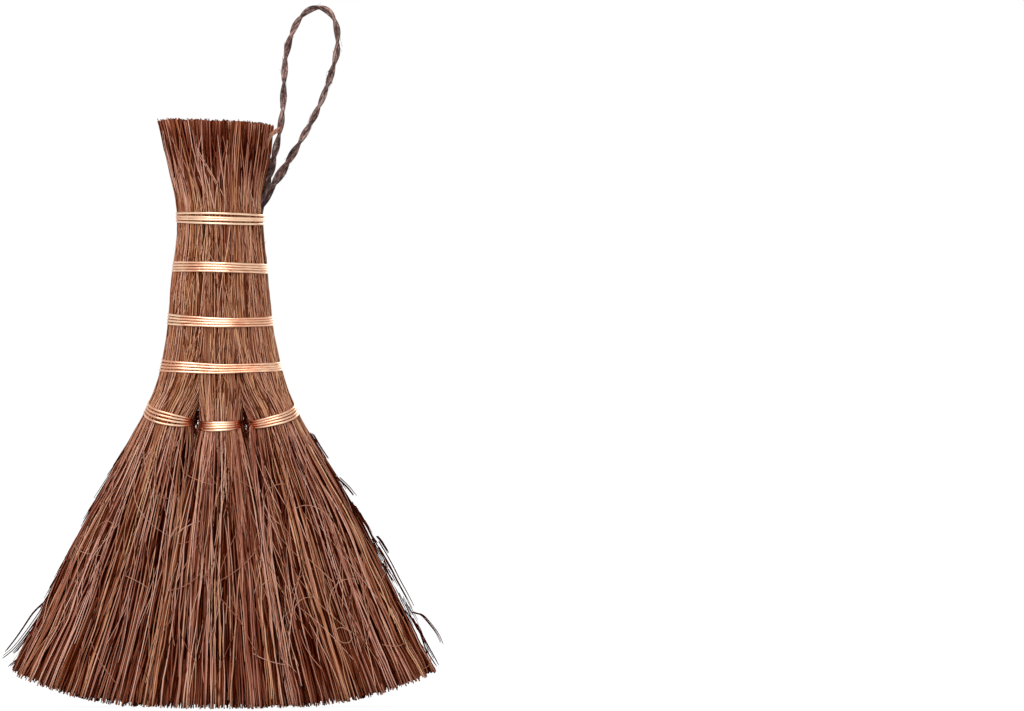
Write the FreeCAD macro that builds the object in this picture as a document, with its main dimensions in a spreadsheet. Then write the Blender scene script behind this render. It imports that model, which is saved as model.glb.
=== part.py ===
"""Hand broom of palm fibre: three bundles bound with copper wire and a hanging loop of palm cord.

The broom stands upright on its tips. Its front faces -Y, up is +Z, and the origin is on the
standing surface under the middle of the sweep. All lengths are in millimetres.
"""
import FreeCAD
import Part
import Sketcher
import math
import os
from FreeCAD import Placement, Rotation, Vector

os.makedirs("parts", exist_ok=True)
doc = FreeCAD.newDocument("hand_broom")
sheet = doc.addObject("Spreadsheet::Sheet", "Sizes")

# Driving dimensions, each with its own cell
SIZES = {
    # cut top of the grip, which flares to the left and slopes down to the right
    "crown_rise": 14.6,
    "crown_half_width": 17.6,
    "crown_shift": 2.1,
    "crown_tilt": 2.4,
    # flare between the cut top and the first binding
    "flare_rise": 14.4,
    "flare_half_width": 14.2,
    "flare_shift": 1.4,
    # grip under each of its four bindings, from the top; a rise is from the level below
    "first_rise": 14.9,
    "first_half_width": 12.4,
    "second_rise": 15.9,
    "second_half_width": 13.6,
    "third_rise": 13.9,
    "third_half_width": 15.1,
    "fourth_rise": 17.3,
    "fourth_half_width": 17.7,
    # necks, where each bundle has a binding of its own
    "neck_rise": 42.6,
    "neck_slack": 0.9,
    "centre_neck_half_width": 6.2,
    "side_neck_half_width": 7.1,
    "side_neck_tilt": 17.3,
    # skirt at half height
    "middle_rise": 42.0,
    "middle_half_depth": 9.8,
    "centre_middle_half_width": 14.2,
    "side_middle_half_width": 15.4,
    "side_middle_tilt": 15.4,
    # tips of the skirt
    "tip_half_depth": 12.5,
    "centre_tip_half_width": 21.3,
    "side_tip_half_width": 20.9,
    "side_tip_tilt": 13.6,
    "side_tip_rise": 1.0,
    # furrows between the tufts of the skirt, from nothing at the neck to full depth at the tips
    "tuft_width": 6.6,
    "furrow_width": 2.6,
    "furrow_depth": 1.8,
    # copper wire
    "wire_diameter": 0.65,
    "wire_gap": 0.47,
    "wire_clearance": 0.18,
    # palm cord
    "cord_diameter": 2.3,
    "cord_clearance": 0.22,
    "cord_slack": 0.2,
    "tail_inset": 0.3,
    "tail_end_drop": 6.5,
    "tail_bow": 0.12,
    "bend_rise": 2.6,
    "root_rise": 9.0,
    "root_outset": 1.6,
    "root_gap": 0.35,
    "loop_height": 55.0,
    # slit between neighbouring bundles
    "bundle_gap": 0.3,
}

# Shares and counts
SHARES = {
    "crown_depth_share": 0.68,
    "flare_depth_share": 0.75,
    "first_depth_share": 0.80,
    "second_depth_share": 0.69,
    "third_depth_share": 0.57,
    "fourth_depth_share": 0.435,
    "neck_depth_share": 0.92,
    "collar_width_share": 0.985,
    "collar_depth_share": 0.96,
    "hem_width_share": 1.08,
    "hem_depth_share": 0.89,
    "centre_share": 0.30,
    "side_radius_share": 0.80,
    "furrow_middle_share": 0.55,
    "furrow_lift_share": 0.8,
    "furrow_overrun_share": 0.05,
}
TURNS = 4

# Route of the loop above its root: shares of the loop's height, across, back and up
LOOP_ROUTE_SHARES = (
    (0.040, 0.022, 0.120),
    (0.080, 0.026, 0.330),
    (0.090, 0.040, 0.560),
    (0.098, 0.050, 0.760),
    (0.160, 0.055, 0.930),
    (0.262, 0.055, 1.005),
    (0.362, 0.050, 0.955),
    (0.387, 0.045, 0.800),
    (0.354, 0.030, 0.640),
    (0.276, 0.005, 0.430),
    (0.178, -0.015, 0.255),
    (0.080, -0.022, 0.110),
)

row = 1
for name, value in list(SIZES.items()) + list(SHARES.items()):
    sheet.set("A%d" % row, name)
    sheet.set("B%d" % row, str(value))
    sheet.setAlias("B%d" % row, name)
    row += 1
doc.recompute()


def cell(name):
    return "Sizes." + name


def half_width(level):
    return cell(level + "_half_width")


def half_depth(level):
    return "(Sizes.%s_half_width * Sizes.%s_depth_share)" % (level, level)


LEVELS = ("middle", "neck", "fourth", "third", "second", "first", "flare", "crown")
WIRE_PITCH = "(Sizes.wire_diameter + Sizes.wire_gap)"
BINDING_HALF = "(%g * %s + Sizes.wire_diameter)" % (TURNS / 2, WIRE_PITCH)
NECK_GAP = "(Sizes.neck_slack + 2 * (Sizes.wire_diameter + Sizes.wire_clearance))"


def height(level):
    """Height of a level: the sum of the rises up to it."""
    return "(" + " + ".join(cell(name + "_rise") for name in LEVELS[:LEVELS.index(level) + 1]) + ")"


def number(expression):
    return float(sheet.evalExpression(expression))


def size(name):
    return number(cell(name))


# Sections of a bundle
def front_radius(a, b, side):
    """Radius of the front arc of an oval with half sizes a and b and the given end radius."""
    return "(((%s) - (%s)) ^ 2 + (%s) ^ 2 - (%s) ^ 2) / (2 * ((%s) - (%s)))" % (a, side, b, side, b, side)


def arc_between(centre, radius, start, finish):
    """Arc from start to finish the shorter way round its centre."""
    return Part.ArcOfCircle(
        Part.Circle(centre, Vector(0, 0, 1), radius), *ordered_angles(centre, start, finish))


def ordered_angles(centre, start, finish):
    """Angles of two points round a centre, ordered so that the shorter way runs between them."""
    first = math.atan2(start.y - centre.y, start.x - centre.x)
    last = math.atan2(finish.y - centre.y, finish.x - centre.x)
    if (last - first) % (2 * math.pi) > math.pi:
        first, last = last, first
    return first, last


class Section:
    """Sketch of one section of a bundle, with every size bound to the sheet."""

    def __init__(self, body, name, height, across="0", tilt=None):
        self.sketch = body.newObject("Sketcher::SketchObject", name)
        planes = [f for f in body.Origin.OriginFeatures if f.Role == "XY_Plane"]
        self.sketch.AttachmentSupport = [(planes[0], "")]
        self.sketch.MapMode = "FlatFace"
        turn = Rotation(Vector(0, -1, 0), number(tilt)) if tilt else Rotation()
        self.sketch.AttachmentOffset = Placement(Vector(number(across), 0, number(height)), turn)
        self.sketch.setExpression("AttachmentOffset.Base.x", across)
        self.sketch.setExpression("AttachmentOffset.Base.z", height)
        if tilt:
            self.sketch.setExpression("AttachmentOffset.Rotation.Angle", tilt)

    def add(self, shape):
        return self.sketch.addGeometry(shape, False)

    def rule(self, *items):
        return self.sketch.addConstraint(Sketcher.Constraint(*items))

    def bound(self, expression, *items):
        index = self.rule(*items, number(expression))
        self.sketch.setExpression("Constraints[%d]" % index, expression)

    def ends(self, index):
        """Start and end points of an edge."""
        shape = self.sketch.Geometry[index]
        return shape.StartPoint, shape.EndPoint

    def join(self, first, second, tangent):
        """Join the two ends of two edges that lie together."""
        best = None
        for one, a in zip((1, 2), self.ends(first)):
            for two, b in zip((1, 2), self.ends(second)):
                gap = a.distanceToPoint(b)
                if best is None or gap < best[0]:
                    best = (gap, one, two)
        self.rule("Tangent" if tangent else "Coincident", first, best[1], second, best[2])


def half_section(body, name, height, a, b, c, across="0", tilt=None):
    """Section of a side bundle: flat against the centre bundle, rounded at its outer end."""
    made = Section(body, name, height, across, tilt)
    side = "(%s) * Sizes.side_radius_share" % b
    front = front_radius(a, b, side)
    half, depth, flat = number(a), number(b), number(c)
    small, large = number(side), number(front)
    end = Vector(half - small, 0, 0)
    back = Vector(0, large - depth, 0)
    toward = (end - back).normalize()
    corner = end + toward * small
    edge = Vector(flat, back.y - math.sqrt(large ** 2 - flat ** 2), 0)
    flip = lambda p: Vector(p.x, -p.y, 0)
    line = made.add(Part.LineSegment(flip(edge), edge))
    near = made.add(arc_between(back, large, edge, corner))
    outer = made.add(arc_between(end, small, corner, flip(corner)))
    far = made.add(arc_between(flip(back), large, flip(corner), flip(edge)))
    made.join(line, near, False)
    made.join(near, outer, True)
    made.join(outer, far, True)
    made.join(far, line, False)
    made.rule("Vertical", line)
    made.rule("PointOnObject", outer, 3, -1)
    made.rule("PointOnObject", near, 3, -2)
    made.rule("PointOnObject", far, 3, -2)
    made.rule("Equal", near, far)
    made.bound(side, "Radius", outer)
    made.bound(front, "Radius", near)
    made.bound("(%s) - (%s)" % (a, side), "DistanceX", -1, 1, outer, 3)
    made.bound(c, "DistanceX", -1, 1, line, 1)
    return made.sketch


def strip_section(body, name, height, a, b, c, across="0", tilt=None):
    """Section of the centre bundle between its neighbours: flat sides, arched front and back."""
    made = Section(body, name, height, across, tilt)
    side = "(%s) * Sizes.side_radius_share" % b
    front = front_radius(a, b, side)
    depth, flat, large = number(b), number(c), number(front)
    back = Vector(0, large - depth, 0)
    edge = Vector(flat, back.y - math.sqrt(large ** 2 - flat ** 2), 0)
    flip = lambda p: Vector(p.x, -p.y, 0)
    other = lambda p: Vector(-p.x, p.y, 0)
    right = made.add(Part.LineSegment(flip(edge), edge))
    near = made.add(arc_between(back, large, edge, other(edge)))
    left = made.add(Part.LineSegment(other(edge), other(flip(edge))))
    far = made.add(arc_between(flip(back), large, other(flip(edge)), flip(edge)))
    made.join(right, near, False)
    made.join(near, left, False)
    made.join(left, far, False)
    made.join(far, right, False)
    made.rule("Vertical", right)
    made.rule("Vertical", left)
    made.rule("PointOnObject", near, 3, -2)
    made.rule("PointOnObject", far, 3, -2)
    made.bound(front, "Radius", near)
    made.bound(front, "Radius", far)
    made.bound(c, "DistanceX", -1, 1, right, 1)
    made.bound(c, "DistanceX", left, 1, -1, 1)
    made.bound("(%s) - (%s)" % (front, b), "DistanceY", -1, 1, near, 3)
    made.bound("(%s) - (%s)" % (front, b), "DistanceY", far, 3, -1, 1)
    return made.sketch


def oval_section(body, name, height, a, b, across="0", tilt=None):
    """Section of a bundle at its neck: an oval of four arcs."""
    made = Section(body, name, height, across, tilt)
    side = "(%s) * Sizes.side_radius_share" % b
    front = front_radius(a, b, side)
    half, depth = number(a), number(b)
    small, large = number(side), number(front)
    end = Vector(half - small, 0, 0)
    back = Vector(0, large - depth, 0)
    corner = end + (end - back).normalize() * small
    flip = lambda p: Vector(p.x, -p.y, 0)
    other = lambda p: Vector(-p.x, p.y, 0)
    inner = made.add(arc_between(other(end), small, other(flip(corner)), other(corner)))
    near = made.add(arc_between(back, large, other(corner), corner))
    outer = made.add(arc_between(end, small, corner, flip(corner)))
    far = made.add(arc_between(flip(back), large, flip(corner), other(flip(corner))))
    made.join(inner, near, True)
    made.join(near, outer, True)
    made.join(outer, far, True)
    made.join(far, inner, True)
    made.rule("PointOnObject", outer, 3, -1)
    made.rule("PointOnObject", inner, 3, -1)
    made.rule("Equal", inner, outer)
    made.bound(side, "Radius", outer)
    made.bound("(%s) - (%s)" % (a, side), "DistanceX", -1, 1, outer, 3)
    made.bound("(%s) - (%s)" % (a, side), "DistanceX", inner, 3, -1, 1)
    made.bound(front, "Radius", near)
    made.bound(front, "Radius", far)
    return made.sketch


GRIP = ("crown", "flare", "first", "second", "third", "fourth")
NECK_INNER = "(Sizes.centre_neck_half_width + " + NECK_GAP + ")"
MIDDLE_INNER = "(Sizes.centre_middle_half_width + Sizes.bundle_gap)"
TIP_INNER = "(Sizes.centre_tip_half_width + Sizes.bundle_gap)"
NECK_ACROSS = NECK_INNER + " + Sizes.side_neck_half_width * cos(Sizes.side_neck_tilt)"
NECK_UP = height("neck") + " + Sizes.side_neck_half_width * sin(Sizes.side_neck_tilt)"
MIDDLE_FLAT = MIDDLE_INNER + " / cos(Sizes.side_middle_tilt)"
MIDDLE_OUTER = MIDDLE_FLAT + " + 2 * Sizes.side_middle_half_width"
MIDDLE_UP = "Sizes.middle_rise - " + MIDDLE_INNER + " * tan(Sizes.side_middle_tilt)"
TIP_FLAT = TIP_INNER + " / cos(Sizes.side_tip_tilt)"
TIP_OUTER = TIP_FLAT + " + 2 * Sizes.side_tip_half_width"
TIP_UP = "Sizes.side_tip_rise - " + TIP_INNER + " * tan(Sizes.side_tip_tilt)"


def loft(body, name, sections, straight):
    """Loft through sections, smooth or with straight runs between them."""
    made = body.newObject("PartDesign::AdditiveLoft", name)
    made.Profile = sections[0]
    made.Sections = sections[1:]
    made.Ruled = straight
    made.Closed = False
    body.Tip = made
    doc.recompute()
    return made


def grip_and_skirt(body, name, sections):
    """The grip is one smooth loft down to the collar, and the rest runs straight from there."""
    collar = len(GRIP)
    loft(body, name + "_grip", sections[:collar + 1], False)
    loft(body, name + "_skirt", sections[collar:], True)


def neck_sections(body, name, bundle, across, up, tilt):
    """Three ovals along the neck: collar, waist and hem, with the binding between them."""
    half = "Sizes.%s_neck_half_width" % bundle
    waist = "(%s * Sizes.neck_depth_share)" % half
    rows = [("neck", "0", half, waist)]
    for place, way in (("collar", 1), ("hem", -1)):
        wide = "(%s * Sizes.%s_width_share)" % (half, place)
        deep = "(%s * Sizes.%s_depth_share)" % (wide, place)
        rows.insert(0 if way > 0 else 2, (place, "%d * %s" % (way, BINDING_HALF), wide, deep))
    made = []
    for place, along, wide, deep in rows:
        aside = "%s - (%s) * sin(%s)" % (across, along, tilt) if tilt else across
        rise = "%s + (%s) * cos(%s)" % (up, along, tilt) if tilt else "%s + %s" % (up, along)
        made.append(oval_section(body, name + "_" + place, rise, wide, deep, aside, tilt))
    return made


# Tufts of the skirt
def oval_radii(half, depth):
    """Radii of an oval's ends and of its front."""
    small = depth * size("side_radius_share")
    return small, ((half - small) ** 2 + depth ** 2 - small ** 2) / (2 * (depth - small))


def oval_corner(half, depth):
    """Where an oval's front meets its rounded end, from the oval's middle."""
    small, large = oval_radii(half, depth)
    reach = half - small
    return reach + small * reach / math.hypot(reach, large - depth)


class Skin:
    """Front and back of a bundle at one of its sections, between two limits across."""

    def __init__(self, section, half, depth, limits):
        self.place = section.Placement
        self.depth = depth
        self.limits = limits
        self.radius = oval_radii(half, depth)[1]

    def at(self, share, side):
        """Point at a share of the way along the front (side -1) or back (side 1), and its way out."""
        first, last = [math.asin(limit / self.radius) for limit in self.limits]
        angle = first + (last - first) * share
        out = Vector(math.sin(angle), side * math.cos(angle), 0)
        return out * self.radius - Vector(0, side * (self.radius - self.depth), 0), out

    def notch(self, share, side, scale):
        """Triangle across a furrow, its depth and width scaled and its open side above the fibres."""
        spot, out = self.at(share, side)
        deep = size("furrow_depth") * scale
        lift = size("furrow_lift_share")
        aside = Vector(-out.y, out.x, 0) * (size("furrow_width") * scale / 2 * (1 + lift))
        raised = spot + out * (deep * lift)
        return [self.place.multVec(corner) for corner in (spot - out * deep, raised + aside, raised - aside)]


def furrows(name, hem, middle, tip):
    """Wedges that part the skirt into tufts, front and back, from the hem to past the tips."""
    count = max(2, round((tip.limits[1] - tip.limits[0]) / size("tuft_width")))
    wedges = []
    for tuft in range(1, count):
        for side in (-1, 1):
            share = tuft / count
            apex = hem.place.multVec(hem.at(share, side)[0])
            near = middle.notch(share, side, size("furrow_middle_share"))
            far = tip.notch(share, side, 1)
            past = [b + (b - a) * size("furrow_overrun_share") for a, b in zip(near, far)]
            rings = [Part.makePolygon(corners + corners[:1]) for corners in (near, past)]
            wedges.append(Part.makeLoft([Part.Vertex(apex)] + rings, True, True))
    made = doc.addObject("Part::Feature", name + "_furrows")
    made.Shape = Part.makeCompound(wedges)
    return made


def hem_skin(section, bundle):
    """Skin of a bundle's hem, as far as its rounded ends."""
    half = size(bundle + "_neck_half_width") * size("hem_width_share")
    depth = half * size("hem_depth_share")
    corner = oval_corner(half, depth)
    return Skin(section, half, depth, (-corner, corner))


def tufted(name, whole, tool):
    """Bundle whose skirt is parted into tufts."""
    tool.Placement = whole.Placement
    made = doc.addObject("Part::Cut", name)
    made.Base = whole
    made.Tool = tool
    return made


def side_bundle(name, lean):
    """Side bundle drawn with its outer end toward +X; lean is 1 where the top flares outward."""
    body = doc.addObject("PartDesign::Body", name)
    sections = []
    for level in GRIP:
        half = half_width(level)
        shift = "0"
        tilt = None
        if level in ("crown", "flare"):
            shift = "%d * Sizes.%s_shift" % (lean, level)
        if level == "crown":
            tilt = "%d * Sizes.crown_tilt" % lean
        flat = "%s * Sizes.centre_share + Sizes.bundle_gap / 2" % half
        sections.append(half_section(
            body, name + "_" + level, height(level), half,
            half_depth(level), flat, shift, tilt))
    sections += neck_sections(body, name, "side", NECK_ACROSS, NECK_UP, cell("side_neck_tilt"))
    sections.append(half_section(
        body, name + "_middle", MIDDLE_UP, MIDDLE_OUTER, cell("middle_half_depth"),
        MIDDLE_FLAT, "0", cell("side_middle_tilt")))
    sections.append(half_section(
        body, name + "_tip", TIP_UP, TIP_OUTER, cell("tip_half_depth"),
        TIP_FLAT, "0", cell("side_tip_tilt")))
    grip_and_skirt(body, name, sections)
    skins = [hem_skin(sections[-3], "side")]
    for section, outer, depth, flat in (
            (sections[-2], MIDDLE_OUTER, cell("middle_half_depth"), MIDDLE_FLAT),
            (sections[-1], TIP_OUTER, cell("tip_half_depth"), TIP_FLAT)):
        oval = (number(outer), number(depth))
        skins.append(Skin(section, *oval, (number(flat), oval_corner(*oval))))
    return body, furrows(name, *skins)


def centre_bundle(name):
    body = doc.addObject("PartDesign::Body", name)
    sections = []
    for level in GRIP:
        half = half_width(level)
        shift = "0"
        tilt = None
        if level in ("crown", "flare"):
            shift = "-1 * Sizes.%s_shift" % level
        if level == "crown":
            tilt = "-1 * Sizes.crown_tilt"
        flat = "%s * Sizes.centre_share - Sizes.bundle_gap / 2" % half
        sections.append(strip_section(
            body, name + "_" + level, height(level), half,
            half_depth(level), flat, shift, tilt))
    sections += neck_sections(body, name, "centre", "0", height("neck"), None)
    sections.append(strip_section(
        body, name + "_middle", cell("middle_rise"), MIDDLE_OUTER, cell("middle_half_depth"),
        cell("centre_middle_half_width")))
    sections.append(strip_section(
        body, name + "_tip", "0", TIP_OUTER, cell("tip_half_depth"),
        cell("centre_tip_half_width")))
    grip_and_skirt(body, name, sections)
    skins = [hem_skin(sections[-3], "centre")]
    for section, outer, depth, flat in (
            (sections[-2], MIDDLE_OUTER, "middle_half_depth", "centre_middle_half_width"),
            (sections[-1], TIP_OUTER, "tip_half_depth", "centre_tip_half_width")):
        skins.append(Skin(section, number(outer), size(depth), (-size(flat), size(flat))))
    return body, furrows(name, *skins)


# Bundles
left_whole, left_furrows = side_bundle("left_whole", 1)
left_whole.Placement = Placement(Vector(0, 0, 0), Rotation(Vector(0, 0, 1), 180))
centre_whole, centre_furrows = centre_bundle("centre_whole")
right_whole, right_furrows = side_bundle("right_whole", -1)
left = tufted("left_bundle", left_whole, left_furrows)
centre = tufted("centre_bundle", centre_whole, centre_furrows)
right_tufts = tufted("right_tufts", right_whole, right_furrows)
doc.recompute()


# Tubes of wire and cord
def ring_of_halves(name, diameter, place):
    """Round section made of two half circles, its diameter bound to the sheet."""
    ring = doc.addObject("Sketcher::SketchObject", name)
    whole = Part.Circle(Vector(0, 0, 0), Vector(0, 0, 1), number(diameter) / 2)
    for half in (0, 1):
        ring.addGeometry(Part.ArcOfCircle(whole, half * math.pi, (half + 1) * math.pi), False)
        ring.addConstraint(Sketcher.Constraint("Coincident", half, 3, -1, 1))
        ring.addConstraint(Sketcher.Constraint("PointOnObject", half, 1, -1))
        ring.addConstraint(Sketcher.Constraint("PointOnObject", half, 2, -1))
        index = ring.addConstraint(Sketcher.Constraint("Radius", half, number(diameter) / 2))
        ring.setExpression("Constraints[%d]" % index, diameter + " / 2")
    ring.Placement = place
    return ring


def swept(name, edges, diameter):
    """Round tube on a path, its diameter bound to a cell of the sheet."""
    path = doc.addObject("Part::Feature", name + "_path")
    path.Shape = Part.Wire(edges)
    start = edges[0].valueAt(edges[0].FirstParameter)
    along = edges[0].tangentAt(edges[0].FirstParameter)
    ring = ring_of_halves(
        name + "_ring", diameter, Placement(start, Rotation(Vector(0, 0, 1), along)))
    tube = doc.addObject("Part::Sweep", name)
    tube.Sections = [ring]
    tube.Spine = (path, ["Edge%d" % (i + 1) for i in range(len(path.Shape.Edges))])
    tube.Solid = True
    tube.Frenet = False
    doc.recompute()
    whole = math.pi / 4 * number(diameter) ** 2 * path.Shape.Length
    print("%s: volume is %.4f of section times length" % (name, tube.Shape.Volume / whole))
    return tube


def arc_edge(start, corner, finish):
    """Arc from start to finish, tangent there to the lines through the corner."""
    chord = (start + finish) * 0.5
    turn = (corner - start).getAngle(finish - corner)
    share = math.cos(turn / 2) / (1 + math.cos(turn / 2))
    middle = chord + (corner - chord) * share
    return Part.Arc(start, middle, finish).toShape()


def quarter(start, along, finish, onward, reach):
    """Two arcs that join start and finish with the given directions; reach sets the first arc."""
    apart = finish - start - along * reach
    other = (apart.dot(apart) - reach ** 2) / (2 * (apart.dot(onward) + reach))
    first = start + along * reach
    second = finish - onward * other
    joint = (first * other + second * reach) * (1 / (reach + other))
    return [arc_edge(start, first, joint), arc_edge(joint, second, finish)]


def least_gap(edges, diameter, turn_length):
    """Least distance between the surfaces of neighbouring turns, measured on points."""
    points = []
    run = 0.0
    for edge in edges:
        count = max(2, int(edge.Length / diameter))
        for point in edge.discretize(Number=count + 1)[:-1]:
            points.append((run, point))
            run += edge.Length / count
    least = None
    for i, (one, a) in enumerate(points):
        for other, b in points[i + 1:]:
            if other - one > turn_length / 2:
                gap = a.distanceToPoint(b) - diameter
                if least is None or gap < least:
                    least = gap
    return least


def winding(name, a, b, upward, downward, place):
    """Turns of wire round an oval of half sizes a and b, which grow by the given slopes each way."""
    wire = size("wire_diameter")
    offset = wire / 2 + size("wire_clearance")
    pitch = number(WIRE_PITCH)
    steps = TURNS * 4
    stations = []
    for step in range(steps + 1):
        up = (step / 4 - TURNS / 2) * pitch
        grow = upward if up > 0 else downward
        half = a + grow[0] * abs(up) + offset
        depth = b + grow[1] * abs(up) + offset
        angle = math.pi / 2 + step * math.pi / 2
        point = Vector(half * math.cos(angle), depth * math.sin(angle), up)
        small = (depth - offset) * size("side_radius_share") + offset
        stations.append((point, angle, half, depth, small))
    edges = []
    for step in range(steps):
        point, angle, half, depth, small = stations[step]
        last, onward_angle = stations[step + 1][:2]
        large = ((half - small) ** 2 + depth ** 2 - small ** 2) / (2 * (depth - small))
        slope = pitch / (math.pi * (half + depth))
        along = Vector(-math.sin(angle), math.cos(angle), slope).normalize()
        onward = Vector(-math.sin(onward_angle), math.cos(onward_angle), slope).normalize()
        lean = math.atan2(half - small, large - depth)
        if step % 2 == 0:
            reach = large * math.tan(lean / 2)
        else:
            reach = small * math.tan((math.pi / 2 - lean) / 2)
        if step == 0:
            edges.append(Part.LineSegment(point - along * wire, point).toShape())
        edges += quarter(point, along, last, onward, reach)
        if step == steps - 1:
            edges.append(Part.LineSegment(last, last + onward * wire).toShape())
    around = sum(e.Length for e in edges) / TURNS
    radius = min(e.Curve.Radius for e in edges if hasattr(e.Curve, "Radius"))
    print("%s: least gap between turns %.3f, least radius %.2f" % (
        name, least_gap(edges, wire, around), radius))
    placed = []
    for edge in edges:
        moved = edge.copy()
        moved.Placement = place
        placed.append(moved)
    return swept(name, placed, cell("wire_diameter"))


def extents(shapes, place, up):
    """Half width and half depth of solids where a plane at the given height of a frame cuts them."""
    half = 0.0
    depth = 0.0
    for shape in shapes:
        moved = shape.copy()
        moved.Placement = place.inverse().multiply(moved.Placement)
        for wire in moved.slice(Vector(0, 0, 1), up):
            box = wire.optimalBoundingBox()
            half = max(half, box.XMax, -box.XMin)
            depth = max(depth, box.YMax, -box.YMin)
    return half, depth


def bind(name, bodies, place):
    """Winding that follows the solids it binds, above and below the middle of its height."""
    shapes = [body.Shape for body in bodies]
    reach = number(BINDING_HALF)
    half, depth = extents(shapes, place, 0)
    above = extents(shapes, place, reach)
    below = extents(shapes, place, -reach)
    upward = ((above[0] - half) / reach, (above[1] - depth) / reach)
    downward = ((below[0] - half) / reach, (below[1] - depth) / reach)
    return winding(name, half, depth, upward, downward, place)


# Bindings of the grip
bindings = []
for level in ("first", "second", "third", "fourth"):
    place = Placement(Vector(0, 0, number(height(level))), Rotation())
    bindings.append(bind(level + "_grip_binding", (left_whole, centre_whole, right_whole), place))

# Bindings of the necks
for name, body, side in (("left", left_whole, -1), ("centre", centre_whole, 0), ("right", right_whole, 1)):
    place = Placement(Vector(0, 0, number(height("neck"))), Rotation())
    if side:
        place = Placement(
            Vector(side * number(NECK_ACROSS), 0, number(NECK_UP)),
            Rotation(Vector(0, -side, 0), size("side_neck_tilt")))
    bindings.append(bind(name + "_neck_binding", (body,), place))


# Cord
def cord_edges(name, points):
    """Straight runs joined by tangent arcs through a list of points."""
    edges = []
    start = points[0]
    radii = []
    for before, here, after in zip(points, points[1:], points[2:]):
        into = here - before
        out = after - here
        turn = into.getAngle(out)
        radius = 0.45 * min(into.Length, out.Length) / math.tan(turn / 2)
        reach = radius * math.tan(turn / 2)
        first = here - Vector(into).normalize() * reach
        last = here + Vector(out).normalize() * reach
        edges.append(Part.LineSegment(start, first).toShape())
        edges.append(arc_edge(first, here, last))
        radii.append(radius)
        start = last
    edges.append(Part.LineSegment(start, points[-1]).toShape())
    print("%s: radii %s" % (name, ", ".join("%.1f" % r for r in radii)))
    return edges


cord_radius = size("cord_diameter") / 2
first_up = number(height("first"))
second_up = number(height("second"))
aside = Vector(0, (size("cord_diameter") + size("cord_slack")) / 2, 0)
root = Vector(size("first_half_width") + size("root_outset"), 0, first_up + size("root_rise"))
sunk = cord_radius + size("tail_inset")
under_first = Vector(size("first_half_width") - sunk, 0, first_up)
under_second = Vector(size("second_half_width") - sunk, 0, second_up)
bend = Vector(under_first.x, 0, first_up + number(BINDING_HALF) + size("bend_rise"))
bowed = (under_first + under_second) * 0.5 + Vector(size("tail_bow"), 0, 0)
downhill = (under_second - under_first).normalize()
tails = {}
grooves = []
for name, side in (("front", -1), ("rear", 1)):
    for kind, drop in (("tube", 0), ("groove", size("cord_clearance"))):
        end = under_second + downhill * (size("tail_end_drop") + drop)
        points = [point + aside * side for point in (root, bend, bowed, end)]
        edges = cord_edges("%s_tail_%s" % (name, kind), points)
        if kind == "tube":
            tube = swept(name + "_tail_tube", edges, cell("cord_diameter"))
        else:
            wide = "(Sizes.cord_diameter + 2 * Sizes.cord_clearance)"
            grooves.append(swept(name + "_tail_groove", edges, wide))
    ball = doc.addObject("Part::Sphere", name + "_tail_ball")
    ball.setExpression("Radius", "Sizes.cord_diameter / 2")
    ball.Placement.Base = root + aside * side
    tail = doc.addObject("Part::Fuse", name + "_loop_tail")
    tail.Base = tube
    tail.Tool = ball
    tails[name] = tail
groove = doc.addObject("Part::MultiFuse", "tail_groove")
groove.Shapes = grooves
right = doc.addObject("Part::Cut", "right_bundle")
right.Base = right_tufts
right.Tool = groove

inner_root = root + aside
outer_root = root - aside
route = [root + Vector(*share) * size("loop_height") for share in LOOP_ROUTE_SHARES]
start_gap = cord_radius + size("root_gap")
inner_start = inner_root + (route[0] - inner_root).normalize() * start_gap
outer_start = outer_root + (route[-1] - outer_root).normalize() * start_gap
route = [inner_start] + route + [outer_start]
loop = swept("hanging_loop", cord_edges("hanging_loop", route), cell("cord_diameter"))
doc.recompute()

# Nodes
NODES = [left, centre, right] + bindings + [loop, tails["front"], tails["rear"]]
for item in doc.Objects:
    if "Invalid" in item.State or "Error" in item.State:
        raise RuntimeError("%s: %s" % (item.Name, item.State))
for node in NODES:
    if node.Shape.isNull() or not node.Shape.isValid():
        raise RuntimeError("%s has no valid shape" % node.Name)
    node.Label = node.Name
    node.Shape.exportStep("parts/%s.step" % node.Label)
    box = node.Shape.optimalBoundingBox()
    print("%s: %d solids, volume %.0f, x %.1f to %.1f, y %.1f to %.1f, z %.1f to %.1f" % (
        node.Label, len(node.Shape.Solids), node.Shape.Volume,
        box.XMin, box.XMax, box.YMin, box.YMax, box.ZMin, box.ZMax))
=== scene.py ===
import math
import bpy
import numpy as np
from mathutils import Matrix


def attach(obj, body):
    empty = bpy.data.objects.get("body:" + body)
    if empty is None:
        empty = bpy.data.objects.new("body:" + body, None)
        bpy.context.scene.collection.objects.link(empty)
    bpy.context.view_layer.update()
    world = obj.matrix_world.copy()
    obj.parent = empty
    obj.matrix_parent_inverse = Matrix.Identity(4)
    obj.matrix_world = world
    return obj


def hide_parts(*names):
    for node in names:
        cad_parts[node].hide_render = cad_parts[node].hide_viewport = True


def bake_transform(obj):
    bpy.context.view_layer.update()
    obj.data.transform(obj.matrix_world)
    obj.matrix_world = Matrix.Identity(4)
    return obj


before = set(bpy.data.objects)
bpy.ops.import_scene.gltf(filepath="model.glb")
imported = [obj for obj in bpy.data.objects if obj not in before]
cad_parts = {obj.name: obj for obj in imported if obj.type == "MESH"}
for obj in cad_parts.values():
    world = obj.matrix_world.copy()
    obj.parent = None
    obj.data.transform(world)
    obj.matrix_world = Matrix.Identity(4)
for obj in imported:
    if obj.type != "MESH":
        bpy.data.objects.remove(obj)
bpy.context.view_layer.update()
print("frame loaded:", len(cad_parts), "nodes")

# lengths are in mm in the broom's own frame, and turn to metres when a mesh is made
toMetres = 0.001

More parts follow.
